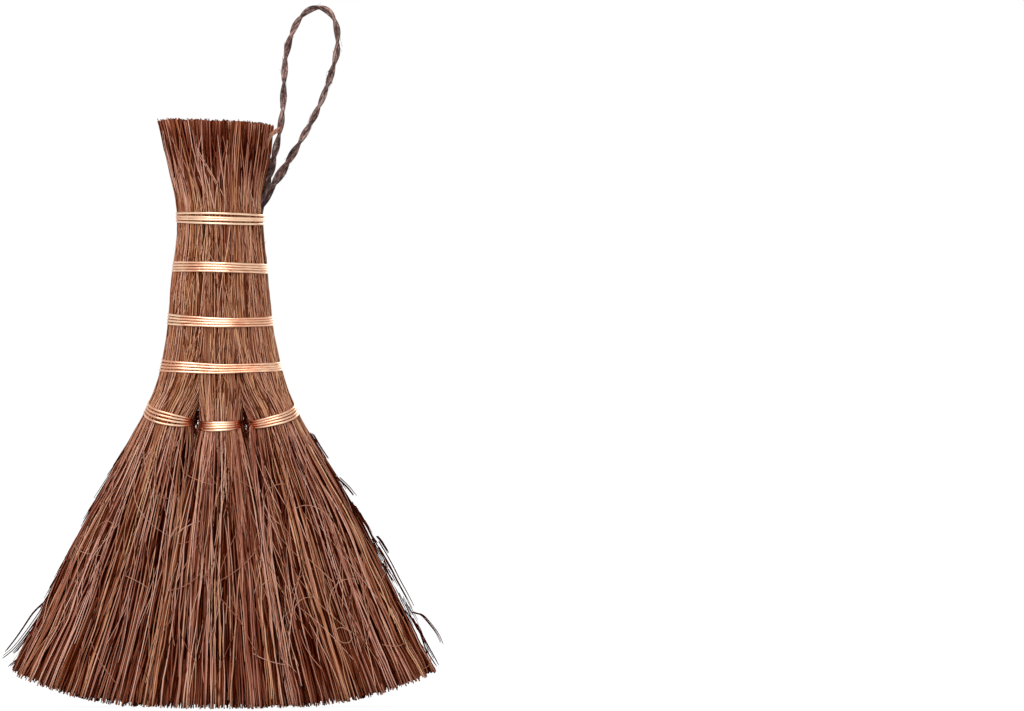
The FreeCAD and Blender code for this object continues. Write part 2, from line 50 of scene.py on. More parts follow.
# heights that more than one piece uses
heightSet = {
    "tipPlace": 8.0,                # where a fibre's place among the tips is read
    "neck": 86.0,
    "pressedFrom": (76.0, 96.0),
    "pressedTo": (150.0, 162.0),
    "flare": 147.0,                 # the fibres spread from here to the cut top
    "topPlace": 174.0,              # where a fibre's place at the cut top is read
    "top": 176.0,
}


def ease(low, high, value):
    share = np.clip((value - low) / (high - low), 0.0, 1.0)
    return share * share * (3.0 - 2.0 * share)


def easedBy(kind, value):
    size, low, high = kind
    return size * ease(low, high, value)


def bell(value, width):
    return np.exp(-(value / width) ** 2)


def flareAt(height):
    return ease(heightSet["flare"], heightSet["top"], height)


def gripWarmth(height):
    return ease(*heightSet["pressedFrom"], height) * (1.0 - ease(*heightSet["pressedTo"], height))


def ringWave(dice, share, lowest, highest, waves):
    total = np.zeros_like(share)
    for _ in range(waves):
        turns = dice.integers(lowest, highest)
        total = total + np.cos(math.tau * (turns * share + dice.random()))
    return total / math.sqrt(waves / 2)


def sineSum(run, kinds, shift=1.0):
    # each kind is a size, a length and a phase
    return sum(size * np.sin(run / length + shift * phase) for size, length, phase in kinds)


def unit(vectors):
    return vectors / (np.linalg.norm(vectors, axis=-1, keepdims=True) + 1e-12)


def runOf(points):
    return np.concatenate(([0.0], np.cumsum(np.linalg.norm(np.diff(points, axis=0), axis=1))))


def spaced(points, run, spots):
    return np.stack([np.interp(spots, run, points[:, k]) for k in range(points.shape[1])], -1)


def evenRing(ring, count):
    closed = np.vstack((ring, ring[:1]))
    run = runOf(closed)
    return spaced(closed, run, np.linspace(0.0, run[-1], count, endpoint=False))


def evenLine(points, step):
    run = runOf(points)
    spots = np.linspace(0.0, run[-1], int(run[-1] / step) + 1)
    return spaced(points, run, spots), spots


def placed(name, data):
    made = bpy.data.objects.new(name, data)
    bpy.context.scene.collection.objects.link(made)
    return made


def keepValues(mesh, name, values, kind="FLOAT", field="value"):
    kept = mesh.attributes.new(name, kind, "POINT")
    kept.data.foreach_set(field, values.astype(np.float32).ravel())


# the bundles' outlines, cut level by level out of the CAD solids
sliceSet = {
    "lowest": 14.0,
    "highest": 172.0,
    "levels": 80,
    "around": 240,
    "below": -6.0,
    "above": 182.0,
    "lowSlant": (0, 10),            # levels that give the slant of the two ends
    "highSlant": (-1, -4),
}


def turn(one, two, three):
    return (two[0] - one[0]) * (three[1] - one[1]) - (two[1] - one[1]) * (three[0] - one[0])


def halfHull(points):
    kept = []
    for point in points:
        while len(kept) > 1 and turn(kept[-2], kept[-1], point) <= 0:
            kept.pop()
        kept.append(point)
    return kept[:-1]


def hullOf(points):
    ordered = points[np.lexsort((points[:, 1], points[:, 0]))]
    return np.array(halfHull(ordered) + halfHull(ordered[::-1]))


class Bundle:
    # inner is the side, +1 or -1 in x, where the outline starts; the front comes first, then the back
    def __init__(self, node, inner):
        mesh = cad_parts[node].data
        mesh.calc_loop_triangles()
        points = np.zeros(len(mesh.vertices) * 3)
        mesh.vertices.foreach_get("co", points)
        points = points.reshape(-1, 3) / toMetres
        corners = np.zeros(len(mesh.loop_triangles) * 3, int)
        mesh.loop_triangles.foreach_get("vertices", corners)
        corners = corners.reshape(-1, 3)
        pairs = np.vstack((corners[:, :2], corners[:, 1:], corners[:, ::2]))
        edges = np.unique(np.sort(pairs, 1), axis=0)
        self.node = node
        self.inner = inner
        heights = np.linspace(sliceSet["lowest"], sliceSet["highest"], sliceSet["levels"])
        rings = np.array([self.cutAt(points, edges, height) for height in heights])

        def straightOn(end, inward, height):
            slant = (rings[end] - rings[inward]) * (height - heights[end])
            return rings[end] + slant / (heights[end] - heights[inward])

        # straight on past the slanted ends
        low = straightOn(*sliceSet["lowSlant"], sliceSet["below"])
        high = straightOn(*sliceSet["highSlant"], sliceSet["above"])
        self.heights = np.concatenate(([sliceSet["below"]], heights, [sliceSet["above"]]))
        self.rings = np.concatenate((low[None], rings, high[None]))
        self.centres = self.rings.mean(1)

    def cutAt(self, points, edges, height):
        ends = points[edges]
        above = ends[:, :, 2] > height
        crossed = ends[above[:, 0] != above[:, 1]]
        part = (height - crossed[:, 0, 2]) / (crossed[:, 1, 2] - crossed[:, 0, 2])
        flat = crossed[:, 0, :2] + part[:, None] * (crossed[:, 1, :2] - crossed[:, 0, :2])
        ring = hullOf(flat)
        if self.inner > 0:
            ring = ring[::-1]
        after = np.roll(ring, -1, 0)
        middle = ring[:, 0].mean()
        swaps = (ring[:, 1] >= 0) != (after[:, 1] >= 0)
        swaps &= (ring[:, 0] + after[:, 0] - 2 * middle) * self.inner > 0
        first = int(np.flatnonzero(swaps)[0])
        share = ring[first, 1] / (ring[first, 1] - after[first, 1])
        start = ring[first] + share * (after[first] - ring[first])
        ordered = np.vstack((start[None], np.roll(ring, -first - 1, 0)))
        return evenRing(ordered, sliceSet["around"])

    def at(self, share, height, depth):
        share, height, depth = np.broadcast_arrays(share, height, depth)
        level = np.clip(np.searchsorted(self.heights, height) - 1, 0, len(self.heights) - 2)
        up = (height - self.heights[level]) / (self.heights[level + 1] - self.heights[level])
        place = (share % 1.0) * sliceSet["around"]
        here = np.floor(place).astype(int) % sliceSet["around"]
        after = (here + 1) % sliceSet["around"]
        part = (place - np.floor(place))[..., None]
        low = self.rings[level, here] * (1 - part) + self.rings[level, after] * part
        high = self.rings[level + 1, here] * (1 - part) + self.rings[level + 1, after] * part
        up = up[..., None]
        edge = low * (1 - up) + high * up
        centre = self.centres[level] * (1 - up) + self.centres[level + 1] * up
        flat = centre + depth[..., None] * (edge - centre)
        return np.concatenate((flat, height[..., None]), -1)


bundles = {
    "left": Bundle("left_bundle", 1),
    "centre": Bundle("centre_bundle", 1),
    "right": Bundle("right_bundle", -1),
}
sideSigns = {"left": -1.0, "right": 1.0}
print("outlines cut:", len(bundles), "bundles")

# how far the fibres close the slit between two bundles, by height
slitSet = {
    "heights": [45.0, 70.0, 77.0, 80.5, 82.0, 84.0, 88.0, 90.5, 95.0, 99.0],
    "closed": [1.0, 1.12, 1.12, 1.05, 0.84, 0.42, 0.42, 0.84, 1.0, 1.0],
}


def reachOf(across):
    # 0 at the edge with the lowest value, 1 at the other edge
    return (across - across.min(1, keepdims=True)) / np.ptp(across, axis=1)[:, None]


def closeSlits():
    closed = np.interp(bundles["centre"].heights, slitSet["heights"], slitSet["closed"])
    moves = {name: np.zeros(bundle.rings.shape[:2]) for name, bundle in bundles.items()}
    for name, side in sideSigns.items():
        outer = bundles[name].rings[..., 0] * side
        inner = bundles["centre"].rings[..., 0] * side
        gap = np.clip(outer.min(1) - inner.max(1), 0.0, None) * closed / 2
        moves[name] -= side * gap[:, None] * np.clip(1.0 - 2.0 * reachOf(outer), 0.0, 1.0)
        moves["centre"] += side * gap[:, None] * np.clip(1.0 - 2.0 * reachOf(-inner), 0.0, 1.0)
    for name, bundle in bundles.items():
        bundle.rings[..., 0] += moves[name]


# the sides of the skirt bend evenly
skirtSet = {
    "width": 9.0,
    "highest": 74.0,
    "from": (2.0, 18.0),
    "to": (58.0, 70.0),
}


def easeSkirt():
    for bundle in bundles.values():
        heights = bundle.heights
        near = bell(heights[:, None] - heights[None, :], skirtSet["width"])
        near[:, heights > skirtSet["highest"]] = 0.0
        near = near / (near.sum(1, keepdims=True) + 1e-9)
        # shifted so that straight runs stay where they are
        lean = near @ heights - heights
        slope = np.gradient(bundle.rings, heights, axis=0)
        eased = np.einsum("ab,bcd->acd", near, bundle.rings) - lean[:, None, None] * slope
        share = ease(*skirtSet["from"], heights) * (1.0 - ease(*skirtSet["to"], heights))
        share = share[:, None, None]
        bundle.rings = bundle.rings * (1.0 - share) + eased * share
        bundle.centres = bundle.rings.mean(1)


# how far the outer edge of each side bundle stands out, by height
sideSet = {
    "left": {
        "heights": [0.0, 12.0, 25.0, 84.0, 100.0, 112.0, 125.0, 148.0, 157.0, 163.0, 169.0, 176.0],
        "outward": [1.6, 1.1, -0.2, 0.3, 0.2, 0.7, 0.9, 0.7, 0.4, -0.2, -0.7, -0.8],
    },
    "right": {
        "heights": [0.0, 10.0, 18.0, 30.0, 45.0, 54.0, 62.0, 78.0, 84.0, 95.0, 112.0,
                    148.0, 155.0, 160.0, 164.5, 169.0, 173.0, 176.0],
        "outward": [2.9, 2.6, 1.3, 0.9, 0.6, 1.2, 1.2, 0.8, 0.4, 0.3, 0.4,
                    0.0, 0.2, 0.9, 1.7, 1.5, 1.1, 1.0],
    },
}


def trimSides():
    for name, side in sideSigns.items():
        bundle = bundles[name]
        reach = reachOf(bundle.rings[..., 0] * side)
        outward = np.interp(bundle.heights, sideSet[name]["heights"], sideSet[name]["outward"])
        bundle.rings[..., 0] += side * outward[:, None] * reach
        bundle.centres = bundle.rings.mean(1)


closeSlits()
easeSkirt()
trimSides()

# how yellow a fibre is: each its own, neighbours at the tips alike, and more so in the grip
hueSet = {
    "own": (0.26, 0.30),
    "alike": 0.24,
    "alikeWaves": [(1.0, 1.9, 0.0), (1.0, 3.3, 2.0), (1.0, 0.9, 4.0)],
    "grip": 0.48,
    "gripSlope": 0.006,
    "range": (0.0, 1.3),
}
# the strip of the bake map that each tube has, as shares of its column and row
mapSet = {
    "columns": 256,
    "across": (0.2, 0.6),
    "along": (0.03, 0.94),
    "cap": (0.5, 0.1),
}


# one mesh from many tubes
class Skein:
    def __init__(self):
        self.points = []
        self.tints = []
        self.warms = []
        self.lays = []
        self.groups = []
        self.filled = 0
        self.tubes = 0

    def warmth(self, paths):
        count = len(paths)
        hue = np.random.default_rng(self.filled + count).normal(*hueSet["own"], (count, 1))
        hue = hue + hueSet["alike"] * sineSum(paths[:, -1:, 0], hueSet["alikeWaves"])
        grip = (hueSet["grip"] - hueSet["gripSlope"] * paths[..., 0]) * gripWarmth(paths[..., 2])
        return np.clip(hue + grip, *hueSet["range"])

    def add(self, paths, radii, tints, sides, across=(0.0, 1.0, 0.0), caps=(True, True)):
        count, knots = paths.shape[:2]
        self.warms.append(np.repeat(self.warmth(paths).reshape(-1), sides))
        along = unit(np.gradient(paths, axis=1))
        out = unit(np.array(across) - along * (along @ np.array(across))[..., None])
        side = np.cross(along, out)
        angles = math.tau * np.arange(sides) / sides
        ring = out[:, :, None] * np.cos(angles)[:, None] + side[:, :, None] * np.sin(angles)[:, None]
        solid = paths[:, :, None] + ring * np.broadcast_to(radii, (count, knots))[:, :, None, None]
        self.points.append(solid.reshape(-1, 3))
        self.tints.append(np.repeat(np.broadcast_to(tints, (count, knots)).reshape(-1), sides))
        run = np.cumsum(np.linalg.norm(np.diff(paths, axis=1, prepend=paths[:, :1]), axis=2), axis=1)
        lay = np.zeros((count, knots, sides, 3))
        lay[..., 0] = np.arange(sides) / sides
        lay[..., 1] = run[..., None]
        lay[..., 2] = (self.tubes + np.arange(count))[:, None, None]
        self.lays.append(lay.reshape(-1, 3))
        share = run / run[:, -1:]
        self.groups.append((count, knots, sides, caps, self.filled, self.tubes, share))
        self.filled += count * knots * sides
        self.tubes += count

    def faces(self):
        columns = min(mapSet["columns"], self.tubes)
        rows = math.ceil(self.tubes / columns)
        left, wide = mapSet["across"]
        low, tall = mapSet["along"]
        capMiddle, capRadius = mapSet["cap"]
        for count, knots, sides, caps, base, first, share in self.groups:
            tube = np.arange(count)[:, None, None]
            column = (first + tube) % columns
            row = (first + tube) // columns
            knot = np.arange(knots - 1)[None, :, None]
            side = np.arange(sides)[None, None, :]
            start = base + tube * knots * sides
            cells = []
            maps = []
            for up, over in ((0, 0), (0, 1), (1, 1), (1, 0)):
                cells.append(start + (knot + up) * sides + (side + over) % sides)
                across = (column + left + wide * (side + over) / sides) / columns
                upward = (row + low + tall * share[:, up:knots - 1 + up, None]) / rows
                maps.append(np.stack(np.broadcast_arrays(across, upward), -1))
            yield np.stack(cells, -1).reshape(-1, 4), np.stack(maps, -2), True
            for end, wanted in enumerate(caps):
                if not wanted:
                    continue
                order = np.arange(sides) if end else np.arange(sides)[::-1]
                across = (column[:, 0] + capMiddle + capRadius * np.cos(order)) / columns
                upward = (row[:, 0] + low + tall * end) / rows
                spots = np.stack(np.broadcast_arrays(across, upward), -1)
                yield start[:, 0] + (knots - 1) * sides * end + order, spots, False

    def make(self, name, finish):
        mesh = bpy.data.meshes.new(name)
        points = np.concatenate(self.points) * toMetres
        mesh.vertices.add(len(points))
        mesh.vertices.foreach_set("co", points.astype(np.float32).ravel())
        cells, maps, smooth = zip(*self.faces())
        counts = [len(cell) for cell in cells]
        corners = np.concatenate([cell.ravel() for cell in cells])
        totals = np.repeat([cell.shape[1] for cell in cells], counts)
        starts = np.concatenate(([0], np.cumsum(totals)[:-1]))
        mesh.loops.add(len(corners))
        mesh.loops.foreach_set("vertex_index", corners.astype(np.int32))
        mesh.polygons.add(len(totals))
        mesh.polygons.foreach_set("loop_start", starts.astype(np.int32))
        mesh.polygons.foreach_set("use_smooth", np.repeat(smooth, counts))
        mesh.update(calc_edges=True)
        bakeMap = mesh.uv_layers.new(name="OFBake")
        spots = np.concatenate([part.ravel() for part in maps])
        bakeMap.data.foreach_set("uv", spots.astype(np.float32))
        keepValues(mesh, "tint", np.concatenate(self.tints))
        keepValues(mesh, "warm", np.concatenate(self.warms))
        keepValues(mesh, "lay", np.concatenate(self.lays), "FLOAT_VECTOR", "vector")
        mesh.materials.append(finish)
        return placed(name, mesh)


# shader helpers: sums on sockets, and one way to make any node
class Sock:
    def __init__(self, owner, socket):
        self.owner = owner
        self.socket = socket

    def sum(self, operation, one, two):
        return self.owner.node("ShaderNodeMath", {"operation": operation}, {0: one, 1: two})

    def __add__(self, other):
        return self.sum("ADD", self, other)

    def __radd__(self, other):
        return self.sum("ADD", other, self)

    def __sub__(self, other):
        return self.sum("SUBTRACT", self, other)

    def __mul__(self, other):
        return self.sum("MULTIPLY", self, other)

    def swing(self, depth):
        # a noise turned to swing about zero
        return (self - 0.5) * depth


class Finish:
    def __init__(self, name, holder=None):
        self.holder = holder or bpy.data.materials.new(name)
        self.holder.use_nodes = True
        self.tree = self.holder.node_tree
        self.tree.nodes.clear()

    def node(self, kind, settings=None, inputs=None, out=0):
        made = self.tree.nodes.new(kind)
        for key, value in (settings or {}).items():
            if key == "stops":
                while len(made.color_ramp.elements) < len(value):
                    made.color_ramp.elements.new(0.5)
                for stop, (position, colour) in zip(made.color_ramp.elements, value):
                    stop.position = position
                    stop.color = (*colour, 1.0)
            else:
                setattr(made, key, value)
        for key, value in (inputs or {}).items():
            if isinstance(value, Sock):
                self.tree.links.new(value.socket, made.inputs[key])
            else:
                made.inputs[key].default_value = value
        return Sock(self, made.outputs[out]) if made.outputs else None

    def attribute(self, name, out="Fac"):
        return self.node("ShaderNodeAttribute", {"attribute_name": name}, out=out)

    def noise(self, place, scale, detail):
        stretched = self.node("ShaderNodeVectorMath", {"operation": "MULTIPLY"}, {0: place, 1: scale})
        return self.node("ShaderNodeTexNoise", None, {
            "Vector": stretched, "Scale": 1.0, "Detail": detail})

    def ramp(self, stops, place):
        return self.node("ShaderNodeValToRGB", {"stops": stops}, {"Fac": place})

    def mixed(self, blend, share, one, two):
        settings = {"data_type": "RGBA", "blend_type": blend}
        return self.node("ShaderNodeMix", settings, {0: share, 6: one, 7: two}, out=2)

    def bump(self, strength, distance, height):
        return self.node("ShaderNodeBump", None, {
            "Strength": strength, "Distance": distance, "Height": height})

    def surface(self, inputs):
        return self.done(self.node("ShaderNodeBsdfPrincipled", None, inputs))

    def rays(self):
        outputs = self.node("ShaderNodeLightPath").socket.node.outputs
        return {output.name: Sock(self, output) for output in outputs}

    def done(self, surface):
        self.node("ShaderNodeOutputMaterial", None, {"Surface": surface})
        return self.holder


fibreFinish = {
    # dark heart fibre to sunlit straw, by tint, which holds each fibre's own tone and painted shade
    "stops": [
        (0.0, (0.0140, 0.0004, 0.0001)),
        (0.25, (0.0890, 0.0112, 0.0032)),
        (0.5, (0.2300, 0.0592, 0.0308)),
        (0.75, (0.4320, 0.1770, 0.1225)),
        (1.0, (0.7050, 0.4020, 0.3150)),
    ],
    "straw": (1.0, 0.98, 0.68, 1.0),
    "grain": ((2.0, 0.11, 5.3), 3.0),   # stretch and detail of a noise
    "grainDepth": 0.28,
    "bump": (0.25, 0.00005),
    "rough": 0.52,
    "roughSpread": 0.20,
    "specular": 0.015,
    "sheenTint": (1.0, 0.62, 0.45, 1.0),
}


def palmFibre():
    look = Finish("palmFibre")
    grain = look.noise(look.attribute("lay", "Vector"), *fibreFinish["grain"])
    tint = look.attribute("tint") + grain.swing(fibreFinish["grainDepth"])
    brown = look.ramp(fibreFinish["stops"], tint)
    return look.surface({
        # some fibres are yellower, most of all the pressed ones of the grip
        "Base Color": look.mixed("MULTIPLY", look.attribute("warm"), brown, fibreFinish["straw"]),
        "Roughness": fibreFinish["rough"] + grain.swing(fibreFinish["roughSpread"]),
        "Specular IOR Level": fibreFinish["specular"],
        "Specular Tint": fibreFinish["sheenTint"],
        "Normal": look.bump(*fibreFinish["bump"], grain),
    })


wireFinish = {
    # dull to bright copper, the bright end partly painted highlight
    "stops": [(0.30, (0.76, 0.38, 0.24)), (0.62, (0.98, 0.70, 0.50))],
    # painted shade and reflected red where two bundles face each other
    "slits": (0.64, 0.13, 0.05, 1.0),
    "drawn": ((9.0, 0.35, 7.0), 3.0),
    # painted highlight: broad patches in the broom's space, bright on all turns alike
    "span": ((150.0, 60.0, 40.0), 1.0),
    "gleamMiddle": 0.56,
    "gleamDepth": 1.1,
    "bump": (0.15, 0.00003),
    "rough": 0.30,
    "roughSpread": 0.2,
}


def copperWire():
    look = Finish("copperWire")
    drawn = look.noise(look.attribute("lay", "Vector"), *wireFinish["drawn"])
    # painted highlight: neighbouring turns are bright and dull at the same places
    span = look.noise(look.node("ShaderNodeTexCoord", out="Object"), *wireFinish["span"])
    bright = drawn + (span - wireFinish["gleamMiddle"]) * wireFinish["gleamDepth"]
    colour = look.ramp(wireFinish["stops"], bright)
    return look.surface({
        # painted shade with a painted reflection of the red fibres: dark red where two bundles face each
        # other
        "Base Color": look.mixed("MIX", look.attribute("tint"), wireFinish["slits"], colour),
        "Metallic": 1.0,
        "Roughness": wireFinish["rough"] + drawn.swing(wireFinish["roughSpread"]),
        "Normal": look.bump(*wireFinish["bump"], drawn),
    })


cordFinish = {
    "stops": [
        (0.05, (0.016, 0.008, 0.008)),
        (0.40, (0.110, 0.066, 0.058)),
        (0.66, (0.290, 0.190, 0.165)),
        (0.98, (0.560, 0.420, 0.370)),
    ],
    "strands": ((5.0, 0.55, 3.0), 4.0),
    "strandsDepth": 1.7,
    "fleck": ((11.0, 2.2, 5.0), 2.0),
    "fleckDepth": 0.7,
    # some strands are redder
    "redder": ((1.5, 0.12, 9.0), 1.0),
    "redderFrom": 0.35,
    "redderDepth": 2.5,
    "red": (1.0, 0.80, 0.78, 1.0),
    "bump": (0.7, 0.00012),
    "rough": 0.62,
    "roughSpread": 0.2,
    "specular": 0.12,
}


def palmCord():
    look = Finish("palmCord")
    lay = look.attribute("lay", "Vector")
    strands, fleck, redder = [look.noise(lay, *cordFinish[key]) for key in ("strands", "fleck", "redder")]
    tint = look.attribute("tint") + strands.swing(cordFinish["strandsDepth"])
    brown = look.ramp(cordFinish["stops"], tint + fleck.swing(cordFinish["fleckDepth"]))
    red = (redder - cordFinish["redderFrom"]) * cordFinish["redderDepth"]
    return look.surface({
        "Base Color": look.mixed("MULTIPLY", red, brown, cordFinish["red"]),
        "Roughness": cordFinish["rough"] + fleck.swing(cordFinish["roughSpread"]),
        "Specular IOR Level": cordFinish["specular"],
        "Normal": look.bump(*cordFinish["bump"], strands),
    })


finishes = {"fibre": palmFibre(), "wire": copperWire(), "cord": palmCord()}
print("finishes made:", len(finishes))


# the cord's whole line, from one tail's end through the loop to the other tail's end, in metres
cordSet = {
    "rearTail": [
        (0.01267, 0.00165, 0.1252), (0.0130, 0.00165, 0.1322), (0.0119, 0.00165, 0.1400),
        (0.0113, 0.00145, 0.1475), (0.0122, 0.00130, 0.1520),
    ],
    "route": [
        (0.0134, 0.00090, 0.1556),
        (0.0150, 0.00090, 0.1618), (0.0175, 0.00130, 0.1716), (0.0186, 0.0020, 0.1800),
        (0.01885, 0.0024, 0.1885),
        (0.01939, 0.00275, 0.1974), (0.0228, 0.00303, 0.20675), (0.02841, 0.00303, 0.21088),
        (0.03391, 0.00275, 0.20813), (0.03529, 0.00248, 0.1996), (0.03347, 0.00165, 0.1908),
        (0.02918, 0.00028, 0.17925), (0.0240, -0.00060, 0.1698), (0.0190, -0.00090, 0.16165),
        (0.0151, -0.00090, 0.1556),
    ],
    "frontTail": [
        (0.0130, -0.00115, 0.1520), (0.0114, -0.00115, 0.1475), (0.0118, -0.00100, 0.1400),
        (0.0130, -0.00100, 0.1322), (0.01267, -0.00105, 0.1252),
    ],
    "rootHeight": 0.1556,
    "resolution": 40,
}
# its two plies, in mm; a wave is a size, a length and a phase
plySet = {
    "seed": 5,
    "diameter": 2.3,
    "step": 0.4,
    "sides": 12,
    "twist": 13.8,                  # one full turn of a strand
    "twistWaves": [(0.5, 17.0, 0.0), (0.3, 7.3, 1.0)],
    "radius": 0.52,
    "radiusWaves": [(0.09, 2.9, 2.1), (0.06, 1.3, 1.0)],
    "offset": 0.49,                 # strand middle from the cord's middle
    "slackBelow": (171.0, 161.0),   # the strands lie slack where the loop leaves the grip
    "slackAbove": (148.5, 153.0),
    "slackOffset": 0.22,
    "slackRadius": 0.42,
    "tint": 0.47,
    "tintWaves": [(0.12, 5.3, 3.0), (0.08, 2.1, 1.0)],
    # painted shade: darker where the cord runs down among the crown's fibres, more so at the tails
    "shades": [(0.16, 174.0, 160.0), (0.26, 153.0, 148.0)],
}
# fine hairs that stand off the plies
cordHairSet = {
    "spacing": 2,
    "clearStart": 4,
    "clearEnd": 8,
    "reach": (0.8, 2.4),
    "lean": (1.5, 4.5),
    "root": 0.75,
    "rise": 0.6,
    "knots": 5,
    "radius": 0.05,
    "tint": 0.45,
    "sides": 3,
}


def smoothLine(points):
    curve = bpy.data.curves.new("cordLine", "CURVE")
    curve.dimensions = "3D"
    curve.resolution_u = cordSet["resolution"]
    spline = curve.splines.new("NURBS")
    spline.points.add(len(points) - 1)
    for spot, point in zip(spline.points, points):
        spot.co = (*point, 1.0)
    spline.order_u = 3
    spline.use_endpoint_u = True
    holder = placed("cordLine", curve)
    bpy.context.view_layer.update()
    ready = holder.evaluated_get(bpy.context.evaluated_depsgraph_get())
    mesh = bpy.data.meshes.new_from_object(ready)
    line = np.array([vertex.co for vertex in mesh.vertices])
    bpy.data.objects.remove(holder)
    bpy.data.curves.remove(curve)
    bpy.data.meshes.remove(mesh)
    return line


def plies(skein, line, run, dice):
    along = unit(np.gradient(line, axis=0))
    deep = unit(np.array((0.0, 1.0, 0.0)) - along * along[:, 1:2])
    flat = np.cross(along, deep)
    height = line[:, 2]
    # the twist runs a little faster and slower along the cord
    phase = run / plySet["twist"] * math.tau + sineSum(run, plySet["twistWaves"])
    slack = ease(*plySet["slackBelow"], height) * ease(*plySet["slackAbove"], height)
    offset = plySet["offset"] * (1.0 + plySet["slackOffset"] * slack)
    for ply in range(2):
        angle = phase + math.pi * ply
        swell = 1.0 + sineSum(run, plySet["radiusWaves"], ply)
        radius = plySet["radius"] * swell * (1.0 + plySet["slackRadius"] * slack)
        path = line + (deep * np.cos(angle)[:, None] + flat * np.sin(angle)[:, None]) * offset[:, None]
        tint = plySet["tint"] + sineSum(run, plySet["tintWaves"], ply)
        # painted shade where the cord runs down among the fibres
        for kind in plySet["shades"]:
            tint = tint - easedBy(kind, height)
        skein.add(path[None], radius[None], tint[None], plySet["sides"])
    hair = cordHairSet
    steps = np.linspace(0.0, 1.0, hair["knots"])[:, None]
    for _ in range(int(run[-1] - run[0]) // hair["spacing"]):
        spot = dice.integers(hair["clearStart"], len(line) - hair["clearEnd"])
        angle = dice.uniform(0, math.tau)
        reach = dice.uniform(*hair["reach"])
        out = deep[spot] * math.cos(angle) + flat[spot] * math.sin(angle)
        lean = along[spot] * dice.choice((-1.0, 1.0)) * dice.uniform(*hair["lean"])
        away = hair["root"] + (reach - hair["root"]) * steps ** 2 * hair["rise"]
        path = line[spot] + out * away + lean * steps
        skein.add(path[None], hair["radius"], hair["tint"], hair["sides"])


def hangingCord():
    dice = np.random.default_rng(plySet["seed"])
    whole = smoothLine(cordSet["rearTail"] + cordSet["route"] + cordSet["frontTail"]) / toMetres
    line, run = evenLine(whole, plySet["step"])
    # the loop is what lies above the root, the tails what lies below it
    above = np.flatnonzero(line[:, 2] > cordSet["rootHeight"] / toMetres)
    first, last = above[0], above[-1]
    parts = {
        "hanging_cord": slice(first, last + 1),
        "rear_cord_tail": slice(0, first + 1),
        "front_cord_tail": slice(last, len(line)),
    }
    made = {}
    for name, part in parts.items():
        skein = Skein()
        plies(skein, line[part], run[part], dice)
        made[name] = skein.make(name, finishes["cord"])
    loop = made["hanging_cord"]
    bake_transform(loop)
    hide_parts("hanging_loop")
    path = line[parts["hanging_cord"]] * toMetres
    length = float(np.linalg.norm(np.diff(path, axis=0), axis=1).sum())
    tuple(path[0])
    for name, node in (("rear_cord_tail", "rear_loop_tail"), ("front_cord_tail", "front_loop_tail")):
        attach(made[name], "broom")
        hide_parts(node)
    print("cord laid: free length", round(length / toMetres, 1), "mm")
    return [line[parts["rear_cord_tail"]], line[parts["front_cord_tail"]]]


tailLines = hangingCord()


# the fibres that show: one tube each from the cut top to the tips
fibreSet = {
    "seed": 21,
    "endSeed": 10,                  # added for those that start in the skirt
    "steps": 42,
    "endSteps": 18,
    "endRise": (26.0, 76.0),
    "endDive": (0.75, 1.0),
    "sides": 4,
    # round one bundle: how many run from the cut top and how many start in the skirt, how deep they lie
    # in the skin, their radius, and their tint where the bundle is pressed and where it is loose
    # painted shade: the deeper layers are darker, the more so where the bundle is loose
    "layers": [
        {"count": 80, "ends": 78, "deep": (0.0, 0.12), "radius": (0.15, 0.22),
         "pressed": 0.79, "freed": 0.79},
        {"count": 140, "ends": 110, "deep": (0.14, 0.46), "radius": (0.11, 0.18),
         "pressed": 0.62, "freed": 0.36},
        {"count": 430, "ends": 40, "deep": (0.40, 1.0), "radius": (0.12, 0.20),
         "pressed": 0.46, "freed": 0.16},
    ],
    "beside": (0.2, 0.8),           # where a fibre of the top layer starts in its own place
    "hidden": 0.06,                 # as near as this to another bundle, only some are laid
    "hiddenKept": 0.5,
    "skin": 0.24,                   # share of the depth that these fibres lie in
    "phase": 6.28,
    # how far fibres stray round the bundle: most of them, and some
    "drift": {
        "top": (0.028, 0.075),
        "grip": (0.026, 0.085),
        "tip": (0.017, 0.045),
    },
    "someShare": 0.26,
    "combed": 0.0065,               # those on top lie side by side, but for the few that stray
    "alike": 0.4,                   # neighbours stray alike
    "alikeWaves": (2, 8, 5),
    "clumps": [(0.7, (9, 26, 6)), (0.3, (40, 90, 6))],
    # strands that neighbours gather into
    "strands": 84,
    "strandShift": 0.3,
    "gather": {"always": 0.04, "top": 0.06, "tips": 0.12},
    # fibres cross at the middle of the grip
    "cross": {"middle": 116.0, "span": 60.0, "most": 0.6},
    "spread": (88.0, 0.0),          # the skirt opens from the neck to the tips
    "topDepth": 0.95,
    "tipDepth": 0.97,
    "topRagged": (-0.25, 0.24),
    "tipRagged": 0.7,
    "shortShare": 0.10,
    "shortBy": 7,
    # depth: how far clumps and strands rise, how it waves, and where the fibres sink
    "rise": {"clump": 0.012, "strand": 0.016, "pressed": 0.25, "loose": 0.55},
    "depthWaves": [(0.030, (22, 70)), (0.014, (9, 18))],
    "topCalm": 0.6,
    "sunkShare": 0.55,              # of all fibres, those that sink between the others at the cut top
    "flareSlope": 1.5,
    "drop": {"flare": 0.05, "dive": 0.12, "sunk": 0.05},
    # slow and quick bends, wider towards both loose ends
    "bends": [
        {"always": 0.10, "tips": 0.32, "top": 0.24, "lengths": (30, 85), "share": (0.2, 1.0)},
        {"always": 0.07, "tips": 0.06, "top": 0.05, "lengths": (11, 26), "share": (0.3, 1.3)},
    ],
    "topBends": 0.7,
    # where two bundles meet at the tips, their fibres mix
    "slit": {"place": 21.3, "width": 4.0, "tips": 1.7, "top": 0.8},
    "swell": {"size": 0.06, "lengths": (30, 60), "tips": 0.05, "grip": 0.22, "top": 0.14},
}
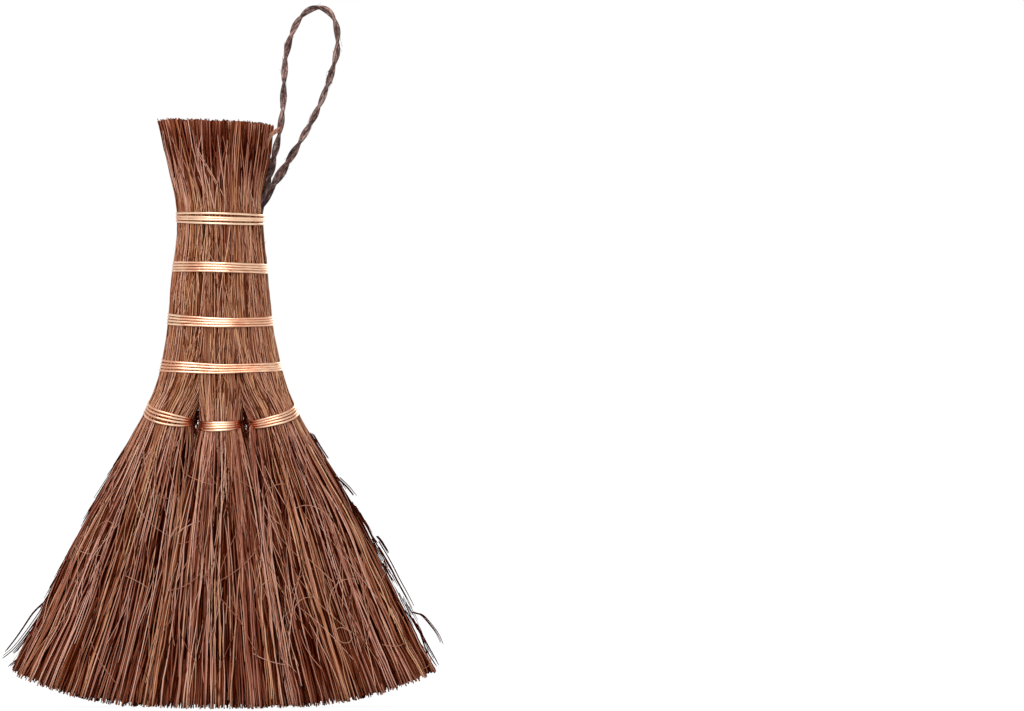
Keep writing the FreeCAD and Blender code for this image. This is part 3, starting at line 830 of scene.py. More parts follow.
# how light they are: each fibre's own tone, painted shade where they lie deep or sunk, along the outer
# edges and beside the slits, and painted light where clumps rise
shadeSet = {
    # painted shade on those that sink between the others at the cut top
    "sunk": 0.36,
    "flare": (-0.09, 0.08),         # change towards the cut top: on top, and below
    "own": (0.16, 0.13),            # each fibre's own: on top, and below
    "apart": (92.0, 66.0),          # pressed above, loose below
    "cutEnds": (0.16, 171.0, 175.5),
    "lowGrip": (0.05, 130.0, 110.0),
    # painted light where a clump rises
    "clump": 0.03,
    # painted shade on fibres that lie deeper, more where the bundle is loose
    "buried": 0.05,
    "buriedLoose": 0.12,
    "buriedMost": 1.2,
    "edge": 0.45,                   # painted shade along the outer edges
    "edgeWidth": 0.045,
    "slitShadow": 0.58,                   # painted shadow beside the slits between the necks
    "slitShadowWidth": 0.085,
    "slitShadowFrom": (56.0, 78.0),
    "slitShadowTo": (98.0, 102.0),
    "waves": [(0.06, (40, 110)), (0.04, (14, 30))],
}
# the cut top slants to the right and is worn round at both corners; the tips rise to both sides
endSet = {
    "cutHeight": 175.7,
    "cutSlope": 0.045,
    "worn": [(0.7, -13.0, -20.0), (0.5, 13.0, 16.5)],
    "tipRise": (10.2, 9.2),
    "tipHalf": 62.5,
    "tipPower": 2.75,
}


def cutTop(x):
    line = endSet["cutHeight"] - endSet["cutSlope"] * x
    for kind in endSet["worn"]:
        line = line - easedBy(kind, x)
    return line


def tipLine(x):
    return np.where(x < 0.0, *endSet["tipRise"]) * (np.abs(x) / endSet["tipHalf"]) ** endSet["tipPower"]


# tufts of the skirt: where they start and end round the front, seen as shares of the outline
tuftSet = {
    "side": {"first": 0.097, "span": 0.280, "count": 5},
    "centre": {"first": 0.090, "span": 0.320, "count": 6},
    "width": 0.17,
    "depth": 0.09,
    # painted shade in the furrows between tufts
    "shade": 0.06,
}


def isCentre(bundle):
    return bundle.node == "centre_bundle"


def furrowAt(bundle, share):
    # 1 in the middle of a furrow between two tufts, 0 on a tuft; the back mirrors the front
    tufts = tuftSet["centre" if isCentre(bundle) else "side"]
    front = np.abs((share + 0.5) % 1.0 - 0.5)
    place = (front - tufts["first"]) / tufts["span"] * tufts["count"]
    inside = (place > 0.5) & (place < tufts["count"] - 0.5)
    return np.where(inside, bell(place - np.round(place), tuftSet["width"]), 0.0)


def fromInner(bundle, share):
    # how far round the outline the next bundle is
    inner = np.abs((share + 0.5) % 1.0 - 0.5)
    return np.minimum(inner, 0.5 - inner) if isCentre(bundle) else inner


def fitKnots(knots, top, tip):
    grip = heightSet["flare"]
    neck = heightSet["neck"]
    raised = grip + (knots - grip) * (top - grip) / (heightSet["top"] - grip)
    lowered = knots + tip * (1.0 - knots / neck)
    return np.where(knots > grip, raised, np.where(knots < neck, lowered, knots))


class BundleFibres:
    # the fibres of one bundle; ends are those that start in the skirt instead of at the cut top
    def __init__(self, bundle, seed, ends):
        self.bundle = bundle
        self.dice = np.random.default_rng(seed)
        counts = [kind["ends" if ends else "count"] for kind in fibreSet["layers"]]
        layer = np.repeat(np.arange(len(counts)), counts)
        # the top layer starts side by side, the rest anywhere
        beside = (np.arange(counts[0]) + self.dice.uniform(*fibreSet["beside"], counts[0])) / counts[0]
        start = np.concatenate((beside, self.dice.random(sum(counts[1:]))))[:, None]
        shown = fromInner(bundle, start) >= fibreSet["hidden"]
        kept = (shown | (self.dice.random(start.shape) < fibreSet["hiddenKept"]))[:, 0]
        self.start = start[kept]
        self.layer = layer[kept]
        self.onTop = (self.layer == 0)[:, None]
        self.strays = self.chance("someShare")
        self.drifts = {place: self.drift(place) for place in fibreSet["drift"]}
        clumps = [size * ringWave(self.dice, self.start, *kind) for size, kind in fibreSet["clumps"]]
        self.clump = sum(clumps)
        strands = fibreSet["strands"]
        strand = np.floor(self.start * strands).astype(int) % strands
        shift = fibreSet["strandShift"]
        middle = (strand + 0.5 + self.dice.uniform(-shift, shift, strands)[strand]) / strands
        self.strandRise = self.dice.normal(0.0, 1.0, strands)[strand]
        self.toStrand = np.where(self.onTop, 0.0, middle - self.start)
        self.setHeights(ends)

    def each(self, key):
        values = np.array([kind[key] for kind in fibreSet["layers"]])
        return values[self.layer].reshape(len(self.layer), -1)

    def within(self, key):
        low, high = self.each(key).T[..., None]
        return low + (high - low) * self.dice.random(self.start.shape)

    def chance(self, key):
        return self.dice.random(self.start.shape) < fibreSet[key]

    def uniform(self, low, high):
        return self.dice.uniform(low, high, self.start.shape)

    def normal(self, middle, spread):
        return self.dice.normal(middle, spread, self.start.shape)

    def wave(self, lengths):
        turns = self.height / self.uniform(*lengths)
        return np.sin(turns * math.tau + self.uniform(0, fibreSet["phase"]))

    def waves(self, kinds):
        return sum(size * self.wave(lengths) for size, lengths in kinds)

    def drift(self, place):
        most, some = fibreSet["drift"][place]
        own = np.where(self.strays, some, np.where(self.onTop, fibreSet["combed"], most))
        alike = fibreSet["alike"] * most * ringWave(self.dice, self.start, *fibreSet["alikeWaves"])
        return alike + own * self.normal(0.0, 1.0)

    def setHeights(self, ends):
        # how high the two ends are, from their places across the broom
        gather = fibreSet["gather"]
        crossed = fibreSet["cross"]["most"] * self.drifts["grip"]
        topShare = self.start + self.drifts["top"] + crossed
        topShare = topShare + (gather["always"] + gather["top"]) * self.toStrand
        tipShare = self.start + self.drifts["tip"] - crossed
        tipShare = tipShare + (gather["always"] + gather["tips"]) * self.toStrand
        topX = self.bundle.at(topShare, heightSet["topPlace"], fibreSet["topDepth"])[..., 0]
        self.tipX = self.bundle.at(tipShare, heightSet["tipPlace"], fibreSet["tipDepth"])[..., 0]
        top = cutTop(topX) + self.normal(*fibreSet["topRagged"])
        tip = tipLine(self.tipX) + np.abs(self.normal(0.0, fibreSet["tipRagged"]))
        tip = tip + np.where(self.chance("shortShare"), self.uniform(0, fibreSet["shortBy"]), 0)
        knots = np.linspace(1.0, 0.0, fibreSet["endSteps" if ends else "steps"])[None, :]
        self.dive = ease(*fibreSet["endDive"], knots) if ends else 0.0
        knots = knots * (self.uniform(*fibreSet["endRise"]) if ends else heightSet["top"])
        self.height = fitKnots(knots, top, tip)
        self.flare = flareAt(self.height)
        self.flared = np.clip(fibreSet["flareSlope"] * self.flare, 0.0, 1.0)
        self.spread = ease(*fibreSet["spread"], self.height)
        self.loose = np.clip(self.flare + self.spread, 0.0, 1.0)

    def paths(self):
        gather = fibreSet["gather"]
        cross = fibreSet["cross"]
        share = self.start + self.drifts["top"] * self.flare + self.drifts["tip"] * self.spread
        crossing = (self.height - cross["middle"]) / cross["span"]
        share = share + self.drifts["grip"] * np.clip(crossing, -cross["most"], cross["most"])
        gathered = gather["always"] + gather["top"] * self.flare + gather["tips"] * self.spread
        share = share + self.toStrand * gathered
        rise = fibreSet["rise"]
        risen = rise["clump"] * self.clump + rise["strand"] * self.strandRise
        depth = 1.0 - fibreSet["skin"] * self.within("deep")
        depth = depth + risen * (rise["pressed"] + rise["loose"] * self.loose)
        calm = np.where(self.onTop, fibreSet["topCalm"], 1.0)
        depth = depth + self.waves(fibreSet["depthWaves"]) * calm
        drop = fibreSet["drop"]
        self.sunk = self.chance("sunkShare") * self.flared
        self.furrow = furrowAt(self.bundle, share) * self.spread
        depth = np.minimum(depth, 1.0) - drop["flare"] * self.flare ** 2 - tuftSet["depth"] * self.furrow
        self.depth = depth - drop["dive"] * self.dive - drop["sunk"] * self.sunk
        paths = self.bundle.at(share, self.height, self.depth)
        bends = 0.0
        for bend in fibreSet["bends"]:
            size = bend["always"] + bend["tips"] * self.spread + bend["top"] * self.flare
            bends = bends + size * self.wave(bend["lengths"]) * self.uniform(*bend["share"])
        slit = fibreSet["slit"]
        nearSlit = bell(np.abs(self.tipX) - slit["place"], slit["width"])
        wander = self.normal(0.0, slit["tips"]) * nearSlit * self.spread
        wander = wander + self.normal(0.0, slit["top"]) * nearSlit * self.flare
        paths[..., 0] += bends * np.where(self.onTop & ~self.strays, fibreSet["topBends"], 1.0) + wander
        return paths

    def radii(self):
        swell = fibreSet["swell"]
        radii = self.within("radius") * (1.0 + swell["size"] * self.wave(swell["lengths"]))
        thinner = swell["grip"] * gripWarmth(self.height) + swell["top"] * self.flare
        return radii * (1.0 + swell["tips"] * self.spread ** 3 - thinner)

    def tints(self):
        # painted shade: those below are darker, most of all where the bundle is loose
        buried = np.clip((1.0 - self.depth) / fibreSet["skin"], 0.0, shadeSet["buriedMost"])
        pressed = self.each("pressed")
        freed = self.each("freed") - shadeSet["sunk"] * self.sunk * self.onTop
        freed = freed + self.flare * np.where(self.onTop, *shadeSet["flare"])
        apart = np.clip(self.flared + ease(*shadeSet["apart"], self.height), 0.0, 1.0)
        tint = pressed + (freed - pressed) * apart
        tint = tint + np.where(self.onTop, *shadeSet["own"]) * self.normal(0.0, 1.0)
        tint = tint + easedBy(shadeSet["cutEnds"], self.height) * ~self.onTop
        tint = tint + easedBy(shadeSet["lowGrip"], self.height) * (1.0 - apart)
        # painted light where clumps rise, painted shade in the furrows between tufts
        tint = tint + shadeSet["clump"] * self.clump - tuftSet["shade"] * self.furrow
        tint = tint - buried * (shadeSet["buried"] + shadeSet["buriedLoose"] * self.loose)
        # painted shade along the outer edges of the side bundles
        if not isCentre(self.bundle):
            edge = bell(self.start - 0.5, shadeSet["edgeWidth"])
            tint = tint - shadeSet["edge"] * edge * (0.5 + 0.5 * apart)
        # painted shadow beside the slits between the necks
        necks = ease(*shadeSet["slitShadowFrom"], self.height) * (1.0 - ease(*shadeSet["slitShadowTo"], self.height))
        slitShadow = bell(fromInner(self.bundle, self.start), shadeSet["slitShadowWidth"])
        tint = tint - shadeSet["slitShadow"] * slitShadow * necks + self.waves(shadeSet["waves"])
        return np.clip(tint, 0.0, 1.0)


# room for the cord's tails, from their middle: for the fibres, and for the heart behind them
tailRoom = {"fibres": 1.4, "heart": 1.6, "every": 3}


def sinkUnder(paths, bundle, room):
    # the fibres give way to the cord's tails
    centre = bundle.at(np.zeros(paths.shape[:2]), paths[..., 2], 0.0)
    inward = unit(centre - paths)
    for line in tailLines:
        for spot in line[::tailRoom["every"]]:
            gap = np.linalg.norm(paths - spot, axis=-1, keepdims=True)
            paths = paths + inward * np.clip(room - gap, 0.0, None)
    return paths


def surfaceFibres(name, bundle, seed):
    skeins = {"front": Skein(), "back": Skein()}
    for ends in (False, True):
        fibres = BundleFibres(bundle, seed + fibreSet["endSeed"] * ends, ends)
        start = fibres.start[:, 0]
        paths = fibres.paths()
        radii = fibres.radii()
        tints = fibres.tints()
        if name == "right":
            paths = sinkUnder(paths, bundle, tailRoom["fibres"])
        for part, chosen in (("front", start < 0.5), ("back", start >= 0.5)):
            skeins[part].add(paths[chosen], radii[chosen], tints[chosen], fibreSet["sides"])
    for part, skein in skeins.items():
        made = skein.make(name + "_fibres_" + part, finishes["fibre"])
        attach(made, "broom")
        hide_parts(bundle.node)
        print("fibres laid:", made.name, skein.tubes)


# what lies behind them: a dark heart, standing for the packed fibres inside with its near-black colour
# painted shade, and short ends that fill the cut top and the tips
heartSet = {
    "seed": 31,
    "depth": 0.79,
    "depthWave": 0.012,
    "depthWaves": (20, 60, 6),
    "topDrop": 5.0,
    "tipRise": 8.0,
    "tipPlace": 4.0,
    "rows": 44,
    "around": 72,
    # near black: painted shade for the packed fibres inside
    "tint": 0.03,
    "knots": 3,
    "sides": 3,
    "radius": (0.17, 0.27),
    "ragged": 0.35,
    "drift": 0.006,
    # tint is that of the cut end, how much it darkens inwards as painted shade, and each one's own; inner
    # darkens those deeper in, also painted shade
    "top": {"count": 620, "length": -8.0, "widest": 0.86, "tint": (0.56, 0.30, 0.13), "inner": 0.0,
            "ragged": 0.7, "short": -0.7},
    "tip": {"count": 1300, "length": 13.0, "widest": 0.95, "tint": (0.58, 0.34, 0.15), "inner": 0.3,
            "ragged": 3.0, "short": 0.9},
}


def heartEnds(name, bundle, dice):
    skein = Skein()
    steps = np.linspace(0.0, 1.0, heartSet["knots"])[None, :]
    for end in ("top", "tip"):
        kind = heartSet[end]
        one = (kind["count"], 1)
        share = dice.random(one)
        depth = np.sqrt(dice.random(one)) * kind["widest"]
        loose = dice.normal(0.0, heartSet["ragged"], one)
        across = bundle.at(share, heightSet[end + "Place"], depth)[..., 0]
        if end == "top":
            reach = cutTop(across) + kind["ragged"] * loose + kind["short"]
        else:
            reach = tipLine(across) + kind["ragged"] * np.abs(loose) + kind["short"]
        height = reach + kind["length"] * steps
        light, darker, own = kind["tint"]
        tint = light - darker * steps + dice.normal(0.0, own, one) - kind["inner"] * (1.0 - depth)
        drift = dice.normal(0.0, heartSet["drift"], one) * (1 - steps)
        paths = bundle.at(share + drift, height, depth)
        radii = dice.uniform(*heartSet["radius"], one)
        skein.add(paths, radii, np.clip(tint, 0, 1), heartSet["sides"], caps=(True, False))
    made = skein.make(name + "_heart_ends", finishes["fibre"])
    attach(made, "broom")


def heartSkin(name, body, clockwise):
    rows, around = body.shape[:2]
    cells = []
    for row in range(rows - 1):
        for spot in range(around):
            after = (spot + 1) % around
            cells.append((row * around + spot, row * around + after,
                          (row + 1) * around + after, (row + 1) * around + spot))
    cells.append(tuple(range(around))[::-1])
    cells.append(tuple(range((rows - 1) * around, rows * around)))
    if clockwise:
        cells = [cell[::-1] for cell in cells]
    mesh = bpy.data.meshes.new(name)
    mesh.from_pydata((body.reshape(-1, 3) * toMetres).tolist(), [], cells)
    mesh.polygons.foreach_set("use_smooth", np.ones(len(cells), bool))
    mesh.update()
    keepValues(mesh, "tint", np.full(rows * around, heartSet["tint"]))
    mesh.materials.append(finishes["fibre"])
    return placed(name, mesh)


def heartFibres(name, bundle, seed):
    dice = np.random.default_rng(seed)
    heartEnds(name, bundle, dice)
    # the heart itself, a closed skin under the fibres, near black as painted shade
    share = np.arange(heartSet["around"])[None, :] / heartSet["around"]
    rows = np.linspace(0.0, 1.0, heartSet["rows"])[:, None]
    low = tipLine(bundle.at(share, heartSet["tipPlace"], 1.0)[..., 0]) + heartSet["tipRise"]
    high = cutTop(bundle.at(share, heightSet["topPlace"], 1.0)[..., 0]) - heartSet["topDrop"]
    height = low + (high - low) * rows
    uneven = heartSet["depthWave"] * ringWave(dice, share, *heartSet["depthWaves"])
    body = bundle.at(share, height, heartSet["depth"] + uneven)
    if name == "right":
        body = sinkUnder(body, bundle, tailRoom["heart"])
    made = heartSkin(name + "_heart", body, bundle.inner > 0)
    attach(made, "broom")
    print("heart filled:", made.name)


for number, (name, bundle) in enumerate(bundles.items()):
    surfaceFibres(name, bundle, fibreSet["seed"] + number)
    heartFibres(name, bundle, heartSet["seed"] + number)


# the bindings: one wire each, four turns, their heights read off the photograph at left, middle and right
gripSet = {
    "first_grip_binding": {
        "heights": [(147.9, 147.9, 147.2), (147.15, 146.6, 146.4),
                    (146.5, 145.9, 145.95), (145.8, 144.8, 145.0)],
        "curl": 0.4,
    },
    "second_grip_binding": {
        "heights": [(133.4, 133.0, 132.5), (132.6, 132.2, 131.8),
                    (131.8, 131.4, 131.1), (131.0, 130.6, 130.3)],
        "curl": 0.3,
    },
    "third_grip_binding": {
        "heights": [(117.9, 116.5, 116.8), (117.0, 115.75, 116.1),
                    (116.1, 115.0, 115.4), (115.2, 114.2, 114.7)],
        "curl": 0.9,
    },
    "fourth_grip_binding": {
        "heights": [(104.2, 102.6, 103.3), (103.1, 101.85, 102.6),
                    (102.1, 101.1, 101.9), (101.1, 100.35, 101.2)],
        "curl": 1.2,
    },
}
# tuck is how far a neck's wire is drawn in, at left and right, where two bundles face each other
neckSet = {
    "left_neck_binding": {
        "bundle": "left",
        "tuck": (0.0, 0.05),
        "heights": [(91.2, 88.1, 86.1), (90.4, 87.15, 85.65), (89.6, 86.1, 85.25), (88.75, 84.95, 84.95)],
        "curl": 1.0,
    },
    "centre_neck_binding": {
        "bundle": "centre",
        "tuck": (0.05, 0.05),
        "heights": [(85.7, 85.4, 86.0), (85.0, 84.7, 85.5), (84.4, 83.95, 85.0), (83.6, 83.1, 84.5)],
        "curl": 0.2,
    },
    "right_neck_binding": {
        "bundle": "right",
        "tuck": (0.05, 0.0),
        "heights": [(85.3, 87.1, 90.6), (84.7, 86.35, 89.9), (84.1, 85.6, 89.1), (83.5, 84.85, 88.4)],
        "curl": 0.2,
    },
}
wireSet = {
    "gripSeed": 51,
    "neckSeed": 61,
    "radius": 0.365,
    "sides": 10,
    "turnSteps": 72,
    "step": 0.45,
    "smoothed": 3,
    "rest": 0.46,                   # the wire's middle above the fibres at the front and back
    "pressed": 0.40,                # how much lower it lies at the sides
    "wobble": 0.05,
    "wobbleLength": 6.1,
    "wobblePhase": 6.28,
    "firstEnd": 0.14,               # where both ends go under, as shares of a turn from the back
    "lastEnd": 0.85,
    "curlSpan": 0.02,
    "lastDrop": 0.4,
    "dipSteps": 5,                  # both ends dip into the fibres
    "dip": 0.04,
    "slit": 7.4,                    # where two bundles face each other at the neck
    "slitWidth": 2.8,
    "slitShade": 0.9,
}
# the outlines that the wires follow
outlineSet = {
    "around": 240,
    "hull": 720,
    "angles": 360,
    "eased": 12,
    "apart": 6.0,                   # between the two levels at which the grip's outline is taken
    "tailRadius": 1.0,
    "tailSpokes": 24,
}


def frontHeight(row, share):
    # share runs 0 at the left edge, 0.5 at the middle of the front, 1 at the right edge
    left, middle, right = row
    return (left * (1 - share) * (1 - 2 * share) + middle * 4 * share * (1 - share)
            + right * share * (2 * share - 1))


def wireLine(heights, curl, ringAt):
    points = []
    final = len(heights) - 1
    for number, row in enumerate(heights):
        left, _, right = row
        for step in range(wireSet["turnSteps"]):
            # 0 at the back, 0.25 at the left, 0.5 at the front, 0.75 at the right
            angle = step / wireSet["turnSteps"]
            if number == 0 and angle < wireSet["firstEnd"]:
                continue
            if number == final and angle > wireSet["lastEnd"]:
                continue
            if angle < 0.25 and number == 0:
                height = left + curl * (1.0 - math.exp((angle - 0.25) / wireSet["curlSpan"]))
            elif angle < 0.25:
                middle = (heights[number - 1][2] + left) / 2
                height = middle + (left - middle) * math.sin(angle / 0.25 * math.pi / 2)
            elif angle <= 0.75:
                height = frontHeight(row, (angle - 0.25) / 0.5)
            else:
                middle = right - wireSet["lastDrop"]
                if number < final:
                    middle = (right + heights[number + 1][0]) / 2
                height = right + (middle - right) * (1 - math.cos((angle - 0.75) / 0.25 * math.pi / 2))
            points.append(ringAt(angle, height))
    points = np.array(points)
    middle = points[:, :2].mean(0)
    dips = wireSet["dipSteps"]
    for spot in range(dips):
        for end in (spot, -1 - spot):
            points[end, :2] += (middle - points[end, :2]) * wireSet["dip"] * (dips - spot)
    return points


def polarRing(flat, centre):
    # the distance from the centre by angle, with the outline's small corners eased
    angle = np.arctan2(flat[:, 0] - centre[0], flat[:, 1] - centre[1])
    order = np.argsort(angle)
    away = np.linalg.norm(flat - centre, axis=1)[order]
    even = np.linspace(-math.pi, math.pi, outlineSet["angles"], endpoint=False)
    reach = np.interp(even, angle[order], away, period=math.tau)
    for _ in range(outlineSet["eased"]):
        reach = (np.roll(reach, 1) + 2 * reach + np.roll(reach, -1)) / 4
    return even, reach


def ringPoint(even, reach, centre, share):
    # share 0 at the back, turning by the left to the front
    angle = -math.tau * share
    away = np.interp((angle + math.pi) % math.tau - math.pi, even, reach, period=math.tau)
    away += wireSet["rest"] - wireSet["pressed"] * math.sin(angle) ** 4
    return centre + away * np.array((math.sin(angle), math.cos(angle)))


outlineShares = np.linspace(0.0, 1.0, outlineSet["around"], endpoint=False)


def gripRing(band):
    middle = float(np.mean(band["heights"]))
    apart = outlineSet["apart"]
    spokeAngle = np.linspace(0.0, math.tau, outlineSet["tailSpokes"], endpoint=False)
    spokes = np.stack((np.cos(spokeAngle), np.sin(spokeAngle)), -1) * outlineSet["tailRadius"]
    rings = []
    for height in (middle - apart / 2, middle + apart / 2):
        flat = np.vstack([bundle.at(outlineShares, height, 1.0)[:, :2] for bundle in bundles.values()])
        # the cord's tails lie under the same turns
        for line in tailLines:
            if line[:, 2].min() < height < line[:, 2].max():
                flat = np.vstack((flat, line[np.abs(line[:, 2] - height).argmin(), :2] + spokes))
        hull = evenRing(hullOf(flat), outlineSet["hull"])
        centre = (hull.min(0) + hull.max(0)) / 2
        rings.append((*polarRing(hull, centre), centre))

    def ringAt(share, height):
        mix = (height - middle + apart / 2) / apart
        low, high = [ringPoint(*ring, share) for ring in rings]
        return (*(low * (1 - mix) + high * mix), height)
    return ringAt


def neckRing(band):
    bundle = bundles[band["bundle"]]

    def ringAt(share, height):
        ring = bundle.at(outlineShares, height, 1.0)[:, :2]
        centre = ring.mean(0)
        flat = ringPoint(*polarRing(ring, centre), centre, share)
        tuck = band["tuck"][0] if share < 0.5 else band["tuck"][1]
        flat[0] += (centre[0] - flat[0]) * tuck * math.sin(math.tau * share) ** 2
        return (*flat, height)
    return ringAt


def windBinding(node, band, ringAt, seed):
    dice = np.random.default_rng(seed)
    even, run = evenLine(wireLine(band["heights"], band["curl"], ringAt), wireSet["step"])
    # take the small steps of the outline out of the wire
    for _ in range(wireSet["smoothed"]):
        even[1:-1] = (even[:-2] + 2 * even[1:-1] + even[2:]) / 4
    phase = dice.uniform(0, wireSet["wobblePhase"])
    even[:, 2] += wireSet["wobble"] * np.sin(run / wireSet["wobbleLength"] + phase)
    clear = np.ones(len(even))
    # painted shade on the wire where two bundles face each other at the neck
    if node in neckSet:
        facing = bell(np.abs(even[:, 0]) - wireSet["slit"], wireSet["slitWidth"])
        clear = 1.0 - wireSet["slitShade"] * facing
    skein = Skein()
    skein.add(even[None], wireSet["radius"], clear[None], wireSet["sides"], across=(0.0, 0.0, 1.0))
    made = skein.make(node.replace("_binding", "_wire"), finishes["wire"])
    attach(made, "broom")
    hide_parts(node)
    print("wire wound:", made.name, len(even), "steps")


for number, (node, band) in enumerate(gripSet.items()):
    windBinding(node, band, gripRing(band), wireSet["gripSeed"] + number)
for number, (node, band) in enumerate(neckSet.items()):
    windBinding(node, band, neckRing(band), wireSet["neckSeed"] + number)


# loose hairs: short ones along the fibres by region, then curls, wisps and the rest
straySet = {
    "seed": 71,
    "steps": 14,
    "sides": 3,
    "taper": 0.5,
    "highest": 175.5,
    "overTips": 0.5,
    "gripFrom": 84.0,
    "front": (0.03, 0.47),          # places round the front or the back of a bundle
    "rest": 0.975,
    "girthSteps": 60,
    "bend": 0.010,
    "lift": 0.010,
    "tintSpread": 0.14,
    "tintRange": (0.05, 1.0),
    "skirt": {
        "count": 580, "heights": (6.0, 80.0), "lengths": (7.0, 30.0), "leans": (0.12, 0.20, 0.38),
        "radii": (0.08, 0.13), "light": 0.82, "dark": 0.20, "darkShare": 0.20, "alike": [],
    },
    "grip": {
        "count": 1900, "heights": (88.0, 150.0), "lengths": (4.0, 13.0), "leans": (0.05, 0.10, 0.18),
        "radii": (0.09, 0.13), "light": 0.84, "dark": 0.36, "darkShare": 0.36,
        "alike": [(0.09, 8.0, 31.0), (0.07, 13.0, -19.0)],
    },
    "crown": {
        "count": 280, "heights": (146.0, 166.0), "lengths": (8.0, 26.0), "leans": (0.05, 0.09, 0.14),
        "radii": (0.12, 0.17), "light": 0.80, "dark": 0.20, "darkShare": 0.30, "alike": [],
    },
    "tangle": {
        "count": 640, "heights": (5.0, 82.0), "lengths": (8.0, 32.0), "leans": (0.07, 0.13, 0.22),
        "radii": (0.08, 0.12), "light": 0.82, "dark": 0.04, "darkShare": 0.52, "alike": [],
    },
    "curls": {
        "count": 70, "heights": (6.0, 74.0), "lengths": (8, 26), "bend": 0.15, "lift": 0.03,
        "radii": (0.09, 0.13), "tints": (0.70, 0.94),
    },
    # each wisp is a few strands side by side
    "wisps": {
        "count": 4, "part": (0.85, 1.0), "shift": (0.0, 0.08), "across": 0.28, "deep": 0.8, "up": 0.18,
        "radii": (0.14, 0.24), "tints": (0.0, 0.2),
    },
    "specks": {
        "count": 30, "tops": (26.0, 82.0), "lengths": (4.0, 12.0), "around": 0.012, "depth": 0.99,
        "outward": (0.2, 1.2), "power": 0.9, "radii": (0.12, 0.18), "tints": (0.0, 0.2),
    },
    "corner": {
        "count": 12, "root": [(11.8, 13.6), (-3.6, -2.2), (165.0, 169.5)],
        "end": [(16.4, 18.9), (-2.6, -1.4), (172.6, 174.8)], "bend": (-0.12, 0.0, 0.12),
        "radii": (0.19, 0.25), "tints": (0.6, 0.95),
    },
    "threads": {
        "count": 42, "heights": (80.0, 94.0), "depth": 0.9, "deep": (-3.5, 3.5), "sag": 0.5,
        "radii": (0.12, 0.22), "tints": (0.0, 0.18),
    },
    "fringe": {
        "count": 56, "tops": (25.0, 62.0), "lengths": (1.5, 6.0), "depth": 0.99,
        "outward": (0.2, 1.0), "opening": (0.0, 0.06), "deep": 0.8,
        "radii": (0.10, 0.17), "tints": (0.0, 0.25),
    },
}
# wisps that stand off the sides of the skirt, as (x, z) in mm read off the photograph
wispSet = {
    "left": [
        [(-53.0, 31.7), (-56.5, 28.5), (-59.1, 24.5), (-61.7, 20.7), (-65.1, 16.4)],
        [(-52.6, 30.6), (-54.8, 27.1), (-58.5, 21.9), (-62.0, 17.5), (-65.7, 14.6)],
        [(-57.0, 22.6), (-58.8, 20.1), (-62.3, 16.1)],
        [(-58.4, 19.8), (-60.8, 14.6), (-63.7, 12.3)],
    ],
    "right": [
        [(26.9, 82.5), (29.6, 77.9), (32.0, 74.4)],
        [(34.6, 69.3), (38.1, 65.9), (40.0, 63.5)],
        [(41.0, 59.4), (43.7, 54.6), (45.3, 51.4), (47.0, 49.2)],
        [(42.1, 55.2), (44.3, 49.8), (46.4, 45.6), (48.6, 42.3), (51.8, 37.5)],
        [(45.9, 50.9), (50.7, 42.9), (52.8, 38.5), (55.5, 33.7), (57.4, 30.0)],
        [(46.8, 51.2), (48.0, 49.8), (50.4, 45.8)],
        [(57.2, 28.6), (58.5, 28.1), (60.3, 27.8), (63.0, 24.6), (65.2, 21.7), (66.5, 18.2)],
        [(57.1, 27.3), (60.3, 21.9), (62.0, 18.7), (65.4, 12.6)],
        [(58.4, 25.0), (59.8, 23.0), (62.5, 15.0)],
        [(61.2, 17.6), (62.0, 16.0), (64.6, 12.0)],
    ],
}
hairSteps = np.linspace(0.0, 1.0, straySet["steps"])


def overSurface(bundle, share, height, heading, bend, length, lift):
    # walks over the bundle's surface, turning a little at each step
    steps = straySet["steps"]
    ring = bundle.at(np.linspace(0.0, 1.0, straySet["girthSteps"]), height, 1.0)
    girth = np.linalg.norm(np.diff(ring, axis=0), axis=1).sum()
    line = []
    for _ in range(steps):
        line.append((share, height))
        share += math.cos(heading) * length / steps / girth
        height += math.sin(heading) * length / steps
        heading += bend * length / steps
    shares, heights = np.array(line).T
    # both ends dive between the other fibres
    depth = straySet["rest"] + (1.0 - straySet["rest"] + lift) * np.sin(np.linspace(0.0, math.pi, steps))
    return bundle.at(shares, heights, depth - fibreSet["drop"]["flare"] * flareAt(heights) ** 2)


def somewhere(dice, heights):
    bundle = bundles[str(dice.choice(list(bundles)))]
    share = dice.uniform(*straySet["front"]) + dice.choice((0.0, 0.5))
    return bundle, share, dice.uniform(*heights)


def curlPaths(dice, kind):
    for _ in range(kind["count"]):
        bundle, share, height = somewhere(dice, kind["heights"])
        heading = dice.uniform(0.0, math.tau)
        bend = dice.normal(0.0, kind["bend"])
        length = dice.uniform(*kind["lengths"])
        yield overSurface(bundle, share, height, heading, bend, length, kind["lift"])


def wispPaths(dice, kind, name):
    # wisps leave the side of the skirt and run down beside it
    for wisp in wispSet[name]:
        line = np.array(wisp)
        knots = np.linspace(0.0, 1.0, len(line))
        for _ in range(kind["count"]):
            part = hairSteps * dice.uniform(*kind["part"]) + dice.uniform(*kind["shift"])
            path = np.zeros((len(hairSteps), 3))
            path[:, 0] = np.interp(part, knots, line[:, 0]) + dice.normal(0.0, kind["across"])
            path[:, 1] = dice.normal(0.0, kind["deep"]) + dice.normal(0.0, kind["deep"]) * hairSteps
            path[:, 2] = np.interp(part, knots, line[:, 1]) + dice.normal(0.0, kind["up"])
            path[1:-1] = (path[:-2] + path[1:-1] + path[2:]) / 3
            yield path


